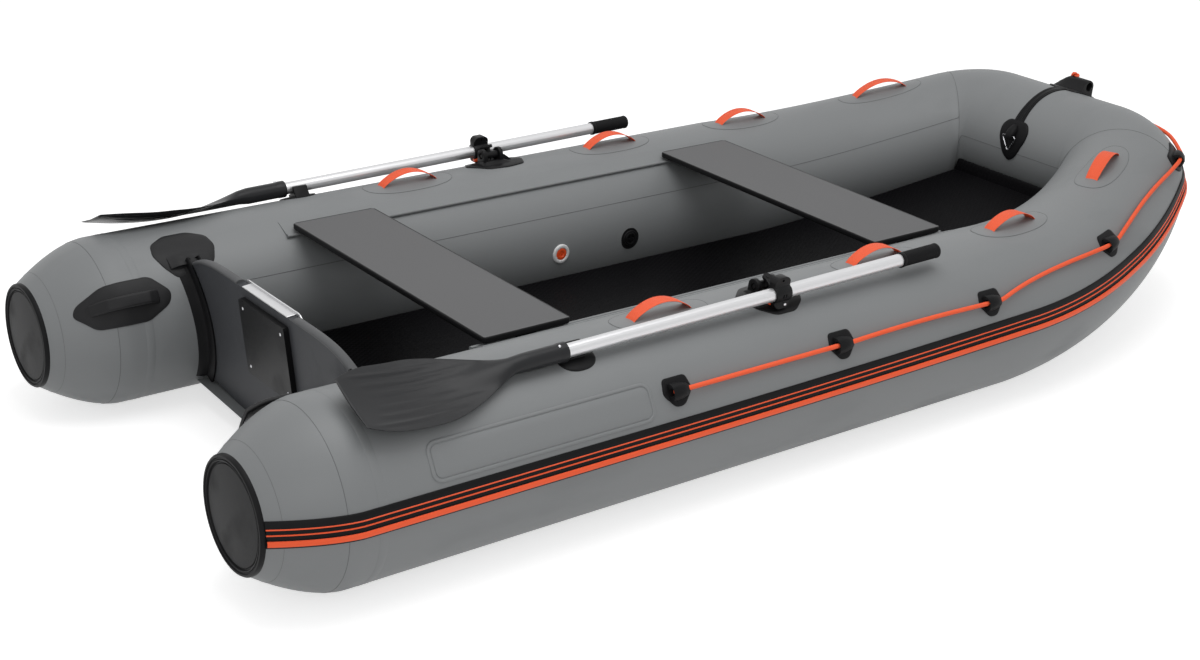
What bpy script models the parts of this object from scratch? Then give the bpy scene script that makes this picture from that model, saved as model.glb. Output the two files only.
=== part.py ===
"""Inflatable boat: three-chamber tube hull, air deck, wooden transom, two sliding bench seats
and two oars stowed on the tubes in tilting oarlocks.

Metres. +X points to the bow, +Y to port, +Z up. The origin is under the middle of the overall
length, on the centreline, on the plane that the tubes stand on. The port half is modelled and
the starboard half is its mirror image.
"""
import math

import bmesh
import bpy
from mathutils import Matrix, Vector

# Overall form
LENGTH = 3.50                # crown of the stern caps to the front of the rubbing strake
BEAM = 1.65                  # over the side tubes, without the strake
TUBE_RADIUS = 0.228
BOW_RADIUS = 0.190           # the tube tapers to this across the bow
BOW_RISE = 0.172             # the bow's centreline above the side tubes' centreline
BOW_BEND_RADIUS = 1.78       # the long gentle bend of each bow panel, in plan
BOW_BEND_ANGLE = math.radians(28)
BOW_CORNER_RADIUS = 0.205
SKIN = 0.0012                # coated fabric of the tubes
TUBE_SIDES = 24
SEAM_GAP = 0.0003            # between pieces that touch

# Stern cones and caps
CONE_LENGTH = 0.25
CONE_TAPER = 0.20
CONE_EASE = 1.6
CAP_RADIUS = 0.137
CAP_CROWN = 0.020
CAP_WALL = 0.004

# Rubbing strake
STRAKE_HEIGHT = 0.064
STRAKE_PROUD = 0.009
STRAKE_ANGLE = math.radians(85)      # its middle on the side tubes, from the top
STRAKE_BOW_ANGLE = math.radians(78)  # and from the middle of each bow panel on
STRAKE_CLIMB_START = 1.0             # where it leaves the side tubes' middle height

# Floor
DECK_TOP = 0.155
DECK_THICKNESS = 0.070
DECK_CLEARANCE = 0.003       # between the floor's edge and the side tubes
DECK_SKIN = 0.0016
DECK_VALVE_RADIUS = 0.024
DECK_VALVE_FROM_BOW = 0.62
BOTTOM_SKIN = 0.0015
BOTTOM_START = 0.400
BOTTOM_EDGE_ANGLE = math.radians(135)
BOTTOM_EDGE_TURN = math.radians(25)
BOTTOM_EDGE_GAP = 0.0045     # clears the corners of the faceted tubes
KEEL_HEIGHT = 0.042

# Transom
TRANSOM_STATION = 0.425      # forward of the cap rims, at half its height
TRANSOM_RAKE = math.radians(6)
TRANSOM_BELOW_TUBES = 0.011
TRANSOM_LEVEL_HALF = 0.150   # half the level part of the top edge
TRANSOM_THICKNESS = 0.024
PAD_WIDTH = 0.240
PAD_HEIGHT = 0.210
PAD_THICKNESS = 0.015
PAD_BELOW_TOP = 0.024
PLATE_WIDTH = 0.300
PLATE_HEIGHT = 0.110
PLATE_THICKNESS = 0.003
PLATE_ABOVE_TOP = 0.009
PLATE_FLANGE_WIDTH = 0.240
HOLDER_HALF_WIDTH = 0.050
HOLDER_LIP = 0.030
HOLDER_LIP_THICKNESS = 0.008
HOLDER_WEB = 0.006
HOLDER_CLEARANCE = 0.003     # between the board's end and the channel's web
HOLDER_CAP_HALF_LENGTH = 0.087
HOLDER_CAP_HALF_WIDTH = 0.070
HOLDER_START = math.radians(40)
HOLDER_END = math.radians(128)

# Seats and the tracks that they slide on
SEAT_BELOW_TUBES = 0.011
SEAT_THICKNESS = 0.016
SEAT_LAP = 0.022             # each end's reach outboard of its welt
SEAT_WIDTH = 0.260
REAR_SEAT = 0.855            # centre, forward of the cap rims
FRONT_SEAT_TO_END = 0.152    # centre to the tracks' forward end
TRACK_START = 0.700
TRACK_TO_BEND = 0.0365       # from the tracks' forward end to where the tubes start to bend
TRACK_ANGLE = math.radians(36)
TRACK_WIDTH = 0.060
TRACK_THICKNESS = 0.0015
WELT_RADIUS = 0.0045
SLIDER_LENGTH = 0.060

# Grab handles
HANDLE_STATIONS = (1.167, 1.905, 2.440, 2.973)
HANDLE_SPAN = 0.180
HANDLE_HEIGHT = 0.036
HANDLE_WIDTH = 0.036
WEBBING = 0.002
HANDLE_TAB = 0.024

# Lifeline and its fittings
FITTING_STATIONS = (1.075, 1.613, 2.162, 2.690, 3.235)
FITTING_ANGLES = tuple(math.radians(angle) for angle in (60, 60, 60, 52, 50.5))
FITTING_LENGTH = 0.078
FITTING_WIDTH = 0.068
FITTING_HEIGHT = 0.027
ROPE_RADIUS = 0.005
ROPE_HOLE_RADIUS = 0.0070
ROPE_LIFT = 0.0140
ROPE_SLACK_LIFT = 0.0105
ROPE_CLIMB = tuple(math.radians(angle) for angle in (0, 1, 6, 8, 0))  # midway to the next one
ROPE_STRAIGHT = 0.045        # each side of a fitting's middle
ROPE_STEP = 0.060
ROPE_END = 0.018             # the rope's end lies in the first fitting's mouth

# Stern carry handles
CARRY_STATION = 0.195
CARRY_ANGLE = math.radians(59)
CARRY_LENGTH = 0.262
CARRY_WIDTH = 0.118
CARRY_GRIP_SPAN = 0.190
CARRY_GRIP_HEIGHT = 0.040
CARRY_GRIP_WIDTH = 0.030

# Bow fitting, strap and towing ring
BOW_FITTING_ANGLE = math.radians(27)
BOW_FITTING_LENGTH = 0.190
BOW_FITTING_WIDTH = 0.120
BOW_BODY_LENGTH = 0.112
BOW_BODY_WIDTH = 0.074
BOW_BORE_HEIGHT = 0.031
BOW_BORE_RADIUS = 0.0125
BOW_BORE_WALL = 0.009
STRAP_WIDTH = 0.036
STRAP_THICKNESS = 0.004
SHIELD_ANGLE = math.radians(76)
SHIELD_LENGTH = 0.140
SHIELD_WIDTH = 0.112
RING_WIRE = 0.0028
RING_SIZE = 0.052
RING_EYE_HEIGHT = 0.020
RING_HANG = math.pi / 2 - SHIELD_ANGLE

# Oars, in the port oarlock's own place
OARLOCK_STATION = 1.479
OARLOCK_ANGLE = math.radians(7.5)
BARREL_LIFT = 0.0272         # barrel's axis above the tube
PIN_TILT = math.radians(30)  # the clamp's stud leans outboard from upright
SHAFT_OFFSET = 0.062         # from the barrel's axis, nearly level
SHAFT_DROP = 0.0035
SHAFT_RADIUS = 0.0175
SHAFT_WALL = 0.0015
SHAFT_SLOPE = math.radians(0.8)
SHAFT_AFT = 0.667            # clamp to the blade's socket
SHAFT_FORE = 0.421           # clamp to the grip
SHAFT_IN_SOCKET = 0.070
SHAFT_SIDES = 16
GRIP_LENGTH = 0.138
GRIP_RADIUS = 0.0195
GRIP_CAP = 0.008
FIT = 0.0003                 # radial clearance of a sliding fit
SOCKET_RADIUS = 0.0230
SOCKET_LENGTH = 0.110
BLADE_LENGTH = 0.577         # socket's mouth to the tip
BLADE_HALF_WIDTH = 0.103
BLADE_TIP_HALF_WIDTH = 0.075
BLADE_EDGE = 0.0050
BLADE_TILT = math.radians(24)
BLADE_DIP = 0.016
BLADE_CURL = 0.033
BUTTON_RADIUS = 0.0038
BUTTON_BACK = 0.022          # from the socket's mouth
BUTTON_PROUD = 0.0045
HORN_RADIUS = 0.0165
HORN_THICKNESS = 0.012
OARLOCK_PAD_LENGTH = 0.190
OARLOCK_PAD_WIDTH = 0.092
BARREL_RADIUS = 0.0115
BARREL_LENGTH = 0.042
TRUNNION_RADIUS = 0.006
STUD_RADIUS = 0.0045
RUNNING_FIT = 0.0001         # radial, between turning pieces
CLAMP_RADIUS = 0.0225
CLAMP_LENGTH = 0.040
CLAMP_EAR = 0.014
CLAMP_UP = 0.040
CLAMP_DOWN = 0.034
EYE_RADIUS = 0.013
EYE_THICKNESS = 0.008
EYE_CLEARANCE = 0.0012
REST_STATION = 0.850
REST_LENGTH = 0.044
REST_PAD_LENGTH = 0.105
REST_PAD_WIDTH = 0.082

# Valves on the port tube's inner side
RELIEF_STATION = 1.564
AIR_VALVE_STATION = 1.824
RELIEF_RADIUS = 0.030
RELIEF_BORE = 0.0185
RELIEF_PROUD = 0.004
AIR_VALVE_RADIUS = 0.027
AIR_CAP_RADIUS = 0.0205
VALVE_DEPTH = 0.026

# Lengths that follow from the sizes above, measured forward of the cap rims' plane
TUBE_AXIS_Y = BEAM / 2 - TUBE_RADIUS
RIM_X = CAP_CROWN - LENGTH / 2
FRONT_AXIS = LENGTH - CAP_CROWN - STRAKE_PROUD - BOW_RADIUS
BEND_RUN = BOW_BEND_RADIUS * BOW_BEND_ANGLE
CORNER_RUN = BOW_CORNER_RADIUS * (math.pi / 2 - BOW_BEND_ANGLE)
STRAIGHT = (FRONT_AXIS - BOW_BEND_RADIUS * math.sin(BOW_BEND_ANGLE)
            - BOW_CORNER_RADIUS * (1 - math.sin(BOW_BEND_ANGLE)))
FRONT_HALF = (TUBE_AXIS_Y - BOW_BEND_RADIUS * (1 - math.cos(BOW_BEND_ANGLE))
              - BOW_CORNER_RADIUS * math.cos(BOW_BEND_ANGLE))
CORNER_START = STRAIGHT + BEND_RUN
CORNER_END = CORNER_START + CORNER_RUN
CORNER_MID = (CORNER_START + CORNER_END) / 2
HALF_RUN = CORNER_END + FRONT_HALF
DECK_SIDE_DEPTH = TUBE_RADIUS - DECK_TOP + 0.3 * DECK_THICKNESS
DECK_INSET = (math.sqrt(TUBE_RADIUS ** 2 - DECK_SIDE_DEPTH ** 2) + DECK_CLEARANCE
              - 0.06 * DECK_THICKNESS)
TRANSOM_TOP = 2 * TUBE_RADIUS - TRANSOM_BELOW_TUBES
SEAT_TOP = 2 * TUBE_RADIUS - SEAT_BELOW_TUBES
TRACK_END = STRAIGHT - TRACK_TO_BEND
FRONT_SEAT = TRACK_END - FRONT_SEAT_TO_END
WELT_Y = TUBE_AXIS_Y - (TUBE_RADIUS + TRACK_THICKNESS + WELT_RADIUS) * math.sin(TRACK_ANGLE)
SEAT_LENGTH = 2 * (WELT_Y + SEAT_LAP)

MATERIALS = {
    "hull_fabric": ((0.235, 0.243, 0.247), 0.55, 0.0),
    "black_rubber": ((0.028, 0.028, 0.030), 0.55, 0.0),
    "black_plastic": ((0.022, 0.022, 0.024), 0.45, 0.0),
    "strake_rubber": ((0.020, 0.020, 0.021), 0.5, 0.0),
    "deck_fabric": ((0.012, 0.012, 0.013), 0.6, 0.0),
    "transom_board": ((0.055, 0.058, 0.062), 0.6, 0.0),
    "seat_board": ((0.115, 0.115, 0.117), 0.6, 0.0),
    "aluminium": ((0.75, 0.75, 0.76), 0.3, 1.0),
    "webbing": ((0.95, 0.11, 0.035), 0.6, 0.0),
    "rope": ((0.95, 0.11, 0.035), 0.7, 0.0),
    "white_plastic": ((0.75, 0.75, 0.75), 0.4, 0.0),
    "orange_plastic": ((0.85, 0.10, 0.02), 0.4, 0.0),
    "ring_steel": ((0.55, 0.55, 0.56), 0.25, 1.0),
}


def material(name):
    """The Principled material of this name, made when it is first asked for."""
    found = bpy.data.materials.get(name)
    if found:
        return found
    colour, roughness, metallic = MATERIALS[name]
    made = bpy.data.materials.new(name)
    made.use_nodes = True
    made.diffuse_color = (*colour, 1.0)
    shader = made.node_tree.nodes["Principled BSDF"]
    shader.inputs["Base Color"].default_value = (*colour, 1.0)
    shader.inputs["Roughness"].default_value = roughness
    shader.inputs["Metallic"].default_value = metallic
    return made


# The tubes' centreline and surface

def centreline(run):
    """Port centreline at a run along it from the cap rim: plan position, height and heading."""
    if run <= STRAIGHT:
        x, y, heading = run, TUBE_AXIS_Y, 0.0
    elif run <= CORNER_START:
        heading = (run - STRAIGHT) / BOW_BEND_RADIUS
        x = STRAIGHT + BOW_BEND_RADIUS * math.sin(heading)
        y = TUBE_AXIS_Y - BOW_BEND_RADIUS * (1 - math.cos(heading))
    elif run <= CORNER_END:
        heading = BOW_BEND_ANGLE + (run - CORNER_START) / BOW_CORNER_RADIUS
        x = FRONT_AXIS - BOW_CORNER_RADIUS * (1 - math.sin(heading))
        y = FRONT_HALF + BOW_CORNER_RADIUS * math.cos(heading)
    else:
        x, y, heading = FRONT_AXIS, HALF_RUN - run, math.pi / 2
    rise = BOW_RISE * (max(0.0, x - STRAIGHT) / (FRONT_AXIS - STRAIGHT)) ** 2
    return Vector((RIM_X + x, y, TUBE_RADIUS + rise)), heading


def tube_radius(run):
    """The tube's radius at a run along the centreline."""
    if run < CONE_TAPER:
        taper = 1 - (1 - max(run, 0.0) / CONE_TAPER) ** CONE_EASE
        return CAP_RADIUS + (TUBE_RADIUS - CAP_RADIUS) * taper
    share = min(max((run - STRAIGHT) / (CORNER_END - STRAIGHT), 0.0), 1.0)
    return TUBE_RADIUS + (BOW_RADIUS - TUBE_RADIUS) * share


def hull_point(run, angle, lift=0.0):
    """A point on the port tube: angle from the top, positive outboard; lift off the surface."""
    centre, heading = centreline(run)
    outboard = Vector((math.sin(heading), math.cos(heading), 0.0))
    reach = tube_radius(run) + lift
    return centre + reach * (math.sin(angle) * outboard + math.cos(angle) * Vector((0, 0, 1)))


def seat_frame(run, angle):
    """Frame on the tube's surface: X along the tube, Y outboard round it, Z off the surface."""
    step = 0.001
    along = hull_point(run + step, angle) - hull_point(run - step, angle)
    around = hull_point(run, angle + step) - hull_point(run, angle - step)
    normal = along.cross(around).normalized()
    along.normalize()
    side = normal.cross(along)
    frame = Matrix((along, side, normal)).transposed().to_4x4()
    frame.translation = hull_point(run, angle)
    return frame


def tube_ring(run, offset=0.0):
    """One faceted ring of the tube, whose flats, not corners, lie at the tube's radius."""
    centre, heading = centreline(run)
    outboard = Vector((math.sin(heading), math.cos(heading), 0.0))
    reach = (tube_radius(run) + offset) / math.cos(math.pi / TUBE_SIDES)
    ring = []
    for index in range(TUBE_SIDES):
        angle = (index + 0.5) * 2 * math.pi / TUBE_SIDES
        ring.append(centre + reach * (math.sin(angle) * outboard
                                      + math.cos(angle) * Vector((0, 0, 1))))
    return ring


def facet_rise(angle):
    """How far the faceted side tube stands above its radius at an angle."""
    half = math.pi / TUBE_SIDES
    from_middle = (angle + half) % (2 * half) - half
    return TUBE_RADIUS / math.cos(from_middle) - TUBE_RADIUS


# Building blocks

def add_object(name, mesh, slot=None, frame=None):
    """An object of this mesh with its material, placed by a frame."""
    made = bpy.data.objects.new(name, mesh)
    bpy.context.collection.objects.link(made)
    if slot:
        mesh.materials.append(material(slot))
    if frame is not None:
        made.matrix_world = frame
    return made


def finish_mesh(bm, name, smooth=math.radians(35)):
    """Turn a bmesh into a mesh with outward faces and smooth round sides."""
    bmesh.ops.recalc_face_normals(bm, faces=bm.faces)
    mesh = bpy.data.meshes.new(name)
    bm.to_mesh(mesh)
    bm.free()
    mesh.shade_smooth()
    mesh.set_sharp_from_angle(angle=smooth)
    return mesh


def add_loft(bm, rings, capped=True):
    """Skin rings of equal count with triangles; the ends are capped with flat faces."""
    loops = [[bm.verts.new(point) for point in ring] for ring in rings]
    for low, high in zip(loops, loops[1:]):
        for index in range(len(low)):
            after = (index + 1) % len(low)
            bm.faces.new((low[index], low[after], high[after]))
            bm.faces.new((low[index], high[after], high[index]))
    if capped:
        bm.faces.new(loops[0])
        bm.faces.new(loops[-1])
    return loops


def fan(bm, loop, centre):
    """Close a ring with triangles round a middle point."""
    hub = bm.verts.new(centre)
    for index, vertex in enumerate(loop):
        bm.faces.new((vertex, loop[(index + 1) % len(loop)], hub))


def loft(name, rings, slot=None, frame=None):
    """A closed solid through the rings, given in the frame's own axes."""
    bm = bmesh.new()
    add_loft(bm, rings)
    return add_object(name, finish_mesh(bm, name), slot, frame)


def world_loft(name, rings, slot, frame):
    """A closed solid through rings given in world axes, with its origin at the frame."""
    inverse = frame.inverted()
    return loft(name, [[inverse @ point for point in ring] for ring in rings], slot, frame)


def turned(name, profile, slot=None, frame=None, sides=24, axis="Z"):
    """A solid turned round an axis from (radius, along) pairs; radius 0 closes on the axis."""
    bm = bmesh.new()
    rings = []
    for radius, along in profile:
        ring = []
        if radius == 0:
            ring.append(bm.verts.new(axis_point(axis, 0, 0, along)))
        else:
            for index in range(sides):
                angle = (index + 0.5) * 2 * math.pi / sides
                spot = axis_point(axis, radius * math.cos(angle), radius * math.sin(angle), along)
                ring.append(bm.verts.new(spot))
        rings.append(ring)
    pairs = list(zip(rings, rings[1:]))
    if profile[0][0] and profile[-1][0]:
        pairs.append((rings[-1], rings[0]))
    for low, high in pairs:
        for index in range(sides):
            after = (index + 1) % sides
            corners = [low[index % len(low)], low[after % len(low)],
                       high[after % len(high)], high[index % len(high)]]
            bm.faces.new(list(dict.fromkeys(corners)))
    return add_object(name, finish_mesh(bm, name), slot, frame)


def axis_point(axis, across, up, along):
    """A point given round and along one of the three axes."""
    if axis == "X":
        return Vector((along, across, up))
    if axis == "Y":
        return Vector((across, along, up))
    return Vector((across, up, along))


def prism(name, outline, low, high, slot=None, frame=None, axis="Z"):
    """A flat outline of (across, up) points extruded along an axis."""
    rings = [[axis_point(axis, a, b, level) for a, b in outline] for level in (low, high)]
    return loft(name, rings, slot, frame)


def rod(name, radius, low, high, frame, axis="Z", sides=16):
    """A plain round bar along an axis; its corners lie at the radius."""
    return turned(name, ((0, low), (radius, low), (radius, high), (0, high)), None, frame,
                  sides, axis)


def bore(name, radius, low, high, frame, axis="Z", sides=16):
    """A cutter for a round hole; its flats lie at the radius, so a rod turns freely in it."""
    return rod(name, radius / math.cos(math.pi / sides), low, high, frame, axis, sides)


def rounded_outline(length, width, corner, steps=3):
    """A rectangle with round corners, centred."""
    points = []
    for quarter, (sx, sy) in enumerate(((1, 1), (-1, 1), (-1, -1), (1, -1))):
        for step in range(steps + 1):
            angle = (quarter + step / steps) * math.pi / 2
            points.append((sx * (length / 2 - corner) + corner * math.cos(angle),
                           sy * (width / 2 - corner) + corner * math.sin(angle)))
    return points


def egg_outline(length, width, squareness, nose=0.0, count=16):
    """A rounded outline; a nose above 0 draws it in towards +u."""
    points = []
    for index in range(count):
        angle = (index + 0.5) * 2 * math.pi / count
        c, s = math.cos(angle), math.sin(angle)
        u = math.copysign(abs(c) ** (2 / squareness), c)
        v = math.copysign(abs(s) ** (2 / squareness), s)
        points.append((u * length / 2, v * width / 2 * (1 - nose * (u + 1) / 2)))
    return points


def tube_pad(name, run, angle, outline, steps, slot):
    """A moulded pad that follows the tube: outline in metres, steps of (scale, lift)."""
    frame = seat_frame(run, angle)
    inverse = frame.inverted()
    radius = tube_radius(run)
    rings = []
    for scale, lift in steps:
        rings.append([inverse @ hull_point(run + u * scale, angle + v * scale / radius, lift)
                      for u, v in outline])
    bm = bmesh.new()
    loops = add_loft(bm, rings, capped=False)
    for loop, (_, lift) in ((loops[0], steps[0]), (loops[-1], steps[-1])):
        fan(bm, loop, Vector((0, 0, lift)))
    return add_object(name, finish_mesh(bm, name), slot, frame)


def tool(made):
    """Mark an object as a cutter or a guide, which isn't part of the boat."""
    made.hide_render = True
    made.display_type = "WIRE"
    return made


def boolean(target, other, operation="DIFFERENCE"):
    """Combine the target with another object."""
    modifier = target.modifiers.new(other.name, "BOOLEAN")
    modifier.operation = operation
    modifier.solver = "EXACT"
    modifier.object = other


def cut(target, *others):
    for other in others:
        boolean(target, tool(other))


def join(target, *others):
    for other in others:
        boolean(target, tool(other), "UNION")


def parent(child, holder):
    """Parent without moving the child."""
    child.parent = holder
    child.matrix_parent_inverse = holder.matrix_world.inverted()


def empty(name, frame):
    made = bpy.data.objects.new(name, None)
    bpy.context.collection.objects.link(made)
    made.empty_display_size = 0.05
    made.matrix_world = frame
    return made


MIRROR = Matrix.Diagonal((1, -1, 1, 1))
SWAPPED = {}


def other_side(name):
    return name.replace("port", "starboard")


def mirrored(source):
    """The starboard twin of a port object, with the twins of what cuts or joins it."""
    if source.name in SWAPPED:
        return SWAPPED[source.name]
    mesh = source.data.copy()
    mesh.name = other_side(source.data.name)
    mesh.transform(MIRROR)
    mesh.flip_normals()
    twin = bpy.data.objects.new(other_side(source.name), mesh)
    bpy.context.collection.objects.link(twin)
    twin.matrix_world = MIRROR @ source.matrix_world @ MIRROR
    twin.hide_render = source.hide_render
    twin.display_type = source.display_type
    SWAPPED[source.name] = twin
    for modifier in source.modifiers:
        other = modifier.object
        partner = other if other.name == HULL_SPACE else mirrored(other)
        boolean(twin, partner, modifier.operation)
    return twin


HULL_SPACE = "hull_space"


def seat_on_hull(made):
    """Trim a glued piece to the tubes' faceted surface, a hair clear of it."""
    boolean(made, bpy.data.objects[HULL_SPACE])


# The tubes

def bow_runs(start, end, steps):
    return [start + (end - start) * index / steps for index in range(steps + 1)]


def add_hull_space():
    """The space inside the tubes' skins and a hair more, for trimming what is glued to them."""
    runs = [-0.004, 0.0] + bow_runs(0, CONE_TAPER, 4)[1:] + [CONE_LENGTH]
    runs += bow_runs(STRAIGHT, CORNER_START, 5) + bow_runs(CORNER_START, CORNER_END, 4)[1:]
    runs.append(HALF_RUN)
    bm = bmesh.new()
    loops = add_loft(bm, [tube_ring(run, SEAM_GAP) for run in runs], capped=False)
    bm.faces.new(loops[0])
    half = list(bm.faces) + list(bm.edges) + list(bm.verts)
    copied = bmesh.ops.duplicate(bm, geom=half)["geom"]
    copies = [item for item in copied if isinstance(item, bmesh.types.BMVert)]
    bmesh.ops.transform(bm, matrix=MIRROR, verts=copies)
    bmesh.ops.remove_doubles(bm, verts=bm.verts, dist=1e-6)
    tool(add_object(HULL_SPACE, finish_mesh(bm, HULL_SPACE)))


def tube_shell(name, runs, slot="hull_fabric"):
    """An open-ended length of tube skin."""
    runs = [runs[0] + SEAM_GAP / 2, *runs[1:-1], runs[-1] - SEAM_GAP / 2]
    origin = centreline((runs[0] + runs[-1]) / 2)[0]
    frame = Matrix.Translation(origin)
    outer = [[point - origin for point in tube_ring(run)] for run in runs]
    inner = [[point - origin for point in tube_ring(run, -SKIN)] for run in reversed(runs)]
    bm = bmesh.new()
    loops = add_loft(bm, outer + inner, capped=False)
    for index in range(TUBE_SIDES):
        after = (index + 1) % TUBE_SIDES
        bm.faces.new((loops[-1][index], loops[-1][after], loops[0][after], loops[0][index]))
    return add_object(name, finish_mesh(bm, name), slot, frame)


def add_tubes():
    """Cones, side tubes and bow panels, butted end to end."""
    tube_shell("stern_cone_port", bow_runs(0, CONE_TAPER, 4) + [CONE_LENGTH])
    tube_shell("side_tube_port", [CONE_LENGTH, STRAIGHT])
    runs = bow_runs(STRAIGHT, CORNER_START, 5) + bow_runs(CORNER_START, CORNER_MID, 2)[1:]
    tube_shell("bow_side_port", runs)
    add_bow_front()


def add_bow_front():
    """The panel across the bow, from the middle of one corner to the middle of the other."""
    runs = bow_runs(CORNER_MID, CORNER_END, 2) + [HALF_RUN]
    runs[0] += SEAM_GAP / 2
    bm = bmesh.new()
    outer = add_loft(bm, [tube_ring(run) for run in runs], capped=False)
    inner = add_loft(bm, [tube_ring(run, -SKIN) for run in runs], capped=False)
    for index in range(TUBE_SIDES):
        after = (index + 1) % TUBE_SIDES
        bm.faces.new((outer[0][index], outer[0][after], inner[0][after], inner[0][index]))
    half = list(bm.faces) + list(bm.edges) + list(bm.verts)
    copied = bmesh.ops.duplicate(bm, geom=half)["geom"]
    copies = [item for item in copied if isinstance(item, bmesh.types.BMVert)]
    bmesh.ops.transform(bm, matrix=MIRROR, verts=copies)
    bmesh.ops.remove_doubles(bm, verts=bm.verts, dist=1e-6)
    add_object("bow_front", finish_mesh(bm, "bow_front"), "hull_fabric")


def add_end_cap():
    """A domed rubber cap with a thick rim, closing the stern cone."""
    rim = CAP_RADIUS + 0.003
    inner = CAP_RADIUS - 0.012
    crown = CAP_CROWN
    profile = (
        (0, -crown), (0.50 * rim, -crown * 0.86), (0.86 * rim, -crown * 0.50),
        (0.90 * rim, -crown * 0.40), (0.93 * rim, -crown * 0.62), (rim, -crown * 0.45),
        (rim, 0.0), (inner, 0.0), (0.60 * rim, CAP_WALL - crown * 0.78), (0, CAP_WALL - crown),
    )
    centre = centreline(0)[0]
    turned("end_cap_port", profile, "black_rubber", Matrix.Translation(centre), TUBE_SIDES, "X")


def strake_angle(run):
    """Where the strake's middle lies on the tube: it climbs a little towards the bow."""
    climb = (run - STRAKE_CLIMB_START) / (STRAIGHT + BEND_RUN / 2 - STRAKE_CLIMB_START)
    share = min(max(climb, 0.0), 1.0) ** 2
    return STRAKE_ANGLE + (STRAKE_BOW_ANGLE - STRAKE_ANGLE) * share


def add_strake():
    """The ribbed rubber band round the outside of all the tubes."""
    half = STRAKE_HEIGHT / 2
    edge = 0.33 * STRAKE_PROUD
    base = 0.45 * STRAKE_PROUD
    groove = 0.35 * STRAKE_PROUD
    profile = (
        (1.0, -0.003), (1.0, edge), (0.95, base), (0.52, base), (0.47, groove), (0.37, base),
        (0.05, base), (0.0, groove), (-0.07, base), (-0.32, base), (-0.38, STRAKE_PROUD),
        (-0.79, STRAKE_PROUD), (-1.0, edge), (-1.0, -0.003),
    )
    runs = [0.003, 0.027, 0.075, 0.125, 0.175, 0.215]
    runs += bow_runs(STRAKE_CLIMB_START, STRAIGHT - 0.05, 4)
    runs += [run + 0.011 for run in bow_runs(STRAIGHT, CORNER_START, 7)]
    runs += [run + 0.004 for run in bow_runs(CORNER_START, CORNER_END, 5)[1:]]
    port = []
    for run in runs:
        angle, reach = strake_angle(run), tube_radius(run)
        port.append([hull_point(run, angle - share * half / reach, lift)
                     for share, lift in profile])
    starboard = [[MIRROR @ point for point in ring] for ring in reversed(port)]
    frame = Matrix.Translation(hull_point(HALF_RUN, strake_angle(HALF_RUN)))
    seat_on_hull(world_loft("rubbing_strake", port + starboard, "strake_rubber", frame))


# Floor

def plan_edge(run, inset):
    """The tubes' centreline in plan, drawn inboard by the inset."""
    centre, heading = centreline(run)
    return centre.x - inset * math.sin(heading), centre.y - inset * math.cos(heading)


def deck_solid(name, thickness, trim, slot=None):
    """The deck's slab with its rounded edge; it follows the tubes up at the bow."""
    front = 0.006 + 2 * trim
    stations = [(TRANSOM_STATION + 0.040 + trim, 0.030, 0.0), (TRANSOM_STATION + 0.085, 0.0, 0.0)]
    stations += [(run, 0.0, 0.0) for run in bow_runs(STRAIGHT, CORNER_START, 4)]
    stations += [(run, 0.0, 0.0) for run in bow_runs(CORNER_START, CORNER_MID, 2)[1:]]
    stations.append((CORNER_END - 2 * trim, 0.0, front))
    edge = 0.4 * thickness
    corners = ((0.5, edge), (0.2, 0.15 * edge), (-0.2, 0.15 * edge), (-0.5, edge))
    rings = []
    for run, notch, narrow in stations:
        lift = centreline(run)[0].z - TUBE_RADIUS + DECK_TOP - DECK_THICKNESS / 2
        inset = DECK_INSET + notch + trim - 1.1 * (TUBE_RADIUS - tube_radius(run))
        port = []
        for level, ease in corners:
            x, y = plan_edge(run, inset + ease)
            port.append(Vector((x, y - narrow, lift + level * thickness)))
        rings.append(port + [MIRROR @ point for point in reversed(port)])
    return world_loft(name, rings, slot, Matrix.Translation((0, 0, DECK_TOP)))


def add_floor():
    """Inflated deck, hollow up to its valve hole, over the keeled bottom skin."""
    deck = deck_solid("air_deck", DECK_THICKNESS, 0.0, "deck_fabric")
    run = FRONT_AXIS - DECK_VALVE_FROM_BOW
    level = DECK_TOP + centreline(run)[0].z - TUBE_RADIUS
    valve = Matrix.Translation((RIM_X + run, 0, level))
    cut(deck, deck_solid("deck_air", DECK_THICKNESS - 2 * DECK_SKIN, DECK_SKIN))
    cut(deck, bore("deck_valve_hole", DECK_VALVE_RADIUS, -0.03, 0.02, valve))
    add_bottom()


BOTTOM_SHARES = (1.0, 0.55, 0.12, 0.0)


def bottom_edge(run):
    """Where the bottom skin meets the tube, further under it towards the bow."""
    share = min(max((run - STRAIGHT) / (CORNER_END - STRAIGHT), 0.0), 1.0)
    return hull_point(run, -BOTTOM_EDGE_ANGLE - BOTTOM_EDGE_TURN * share, BOTTOM_EDGE_GAP)


def bottom_point(run, share):
    """Underside of the bottom skin at a share of the way out from the keel."""
    edge, front = bottom_edge(run), bottom_edge(CORNER_END)
    straight = RIM_X + STRAIGHT
    rise = (max(0.0, edge.x - straight) / (front.x - straight)) ** 2
    keel = KEEL_HEIGHT + (front.z - KEEL_HEIGHT) * rise
    return Vector((edge.x, edge.y * share, keel + (edge.z - keel) * share ** 0.8))


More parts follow.
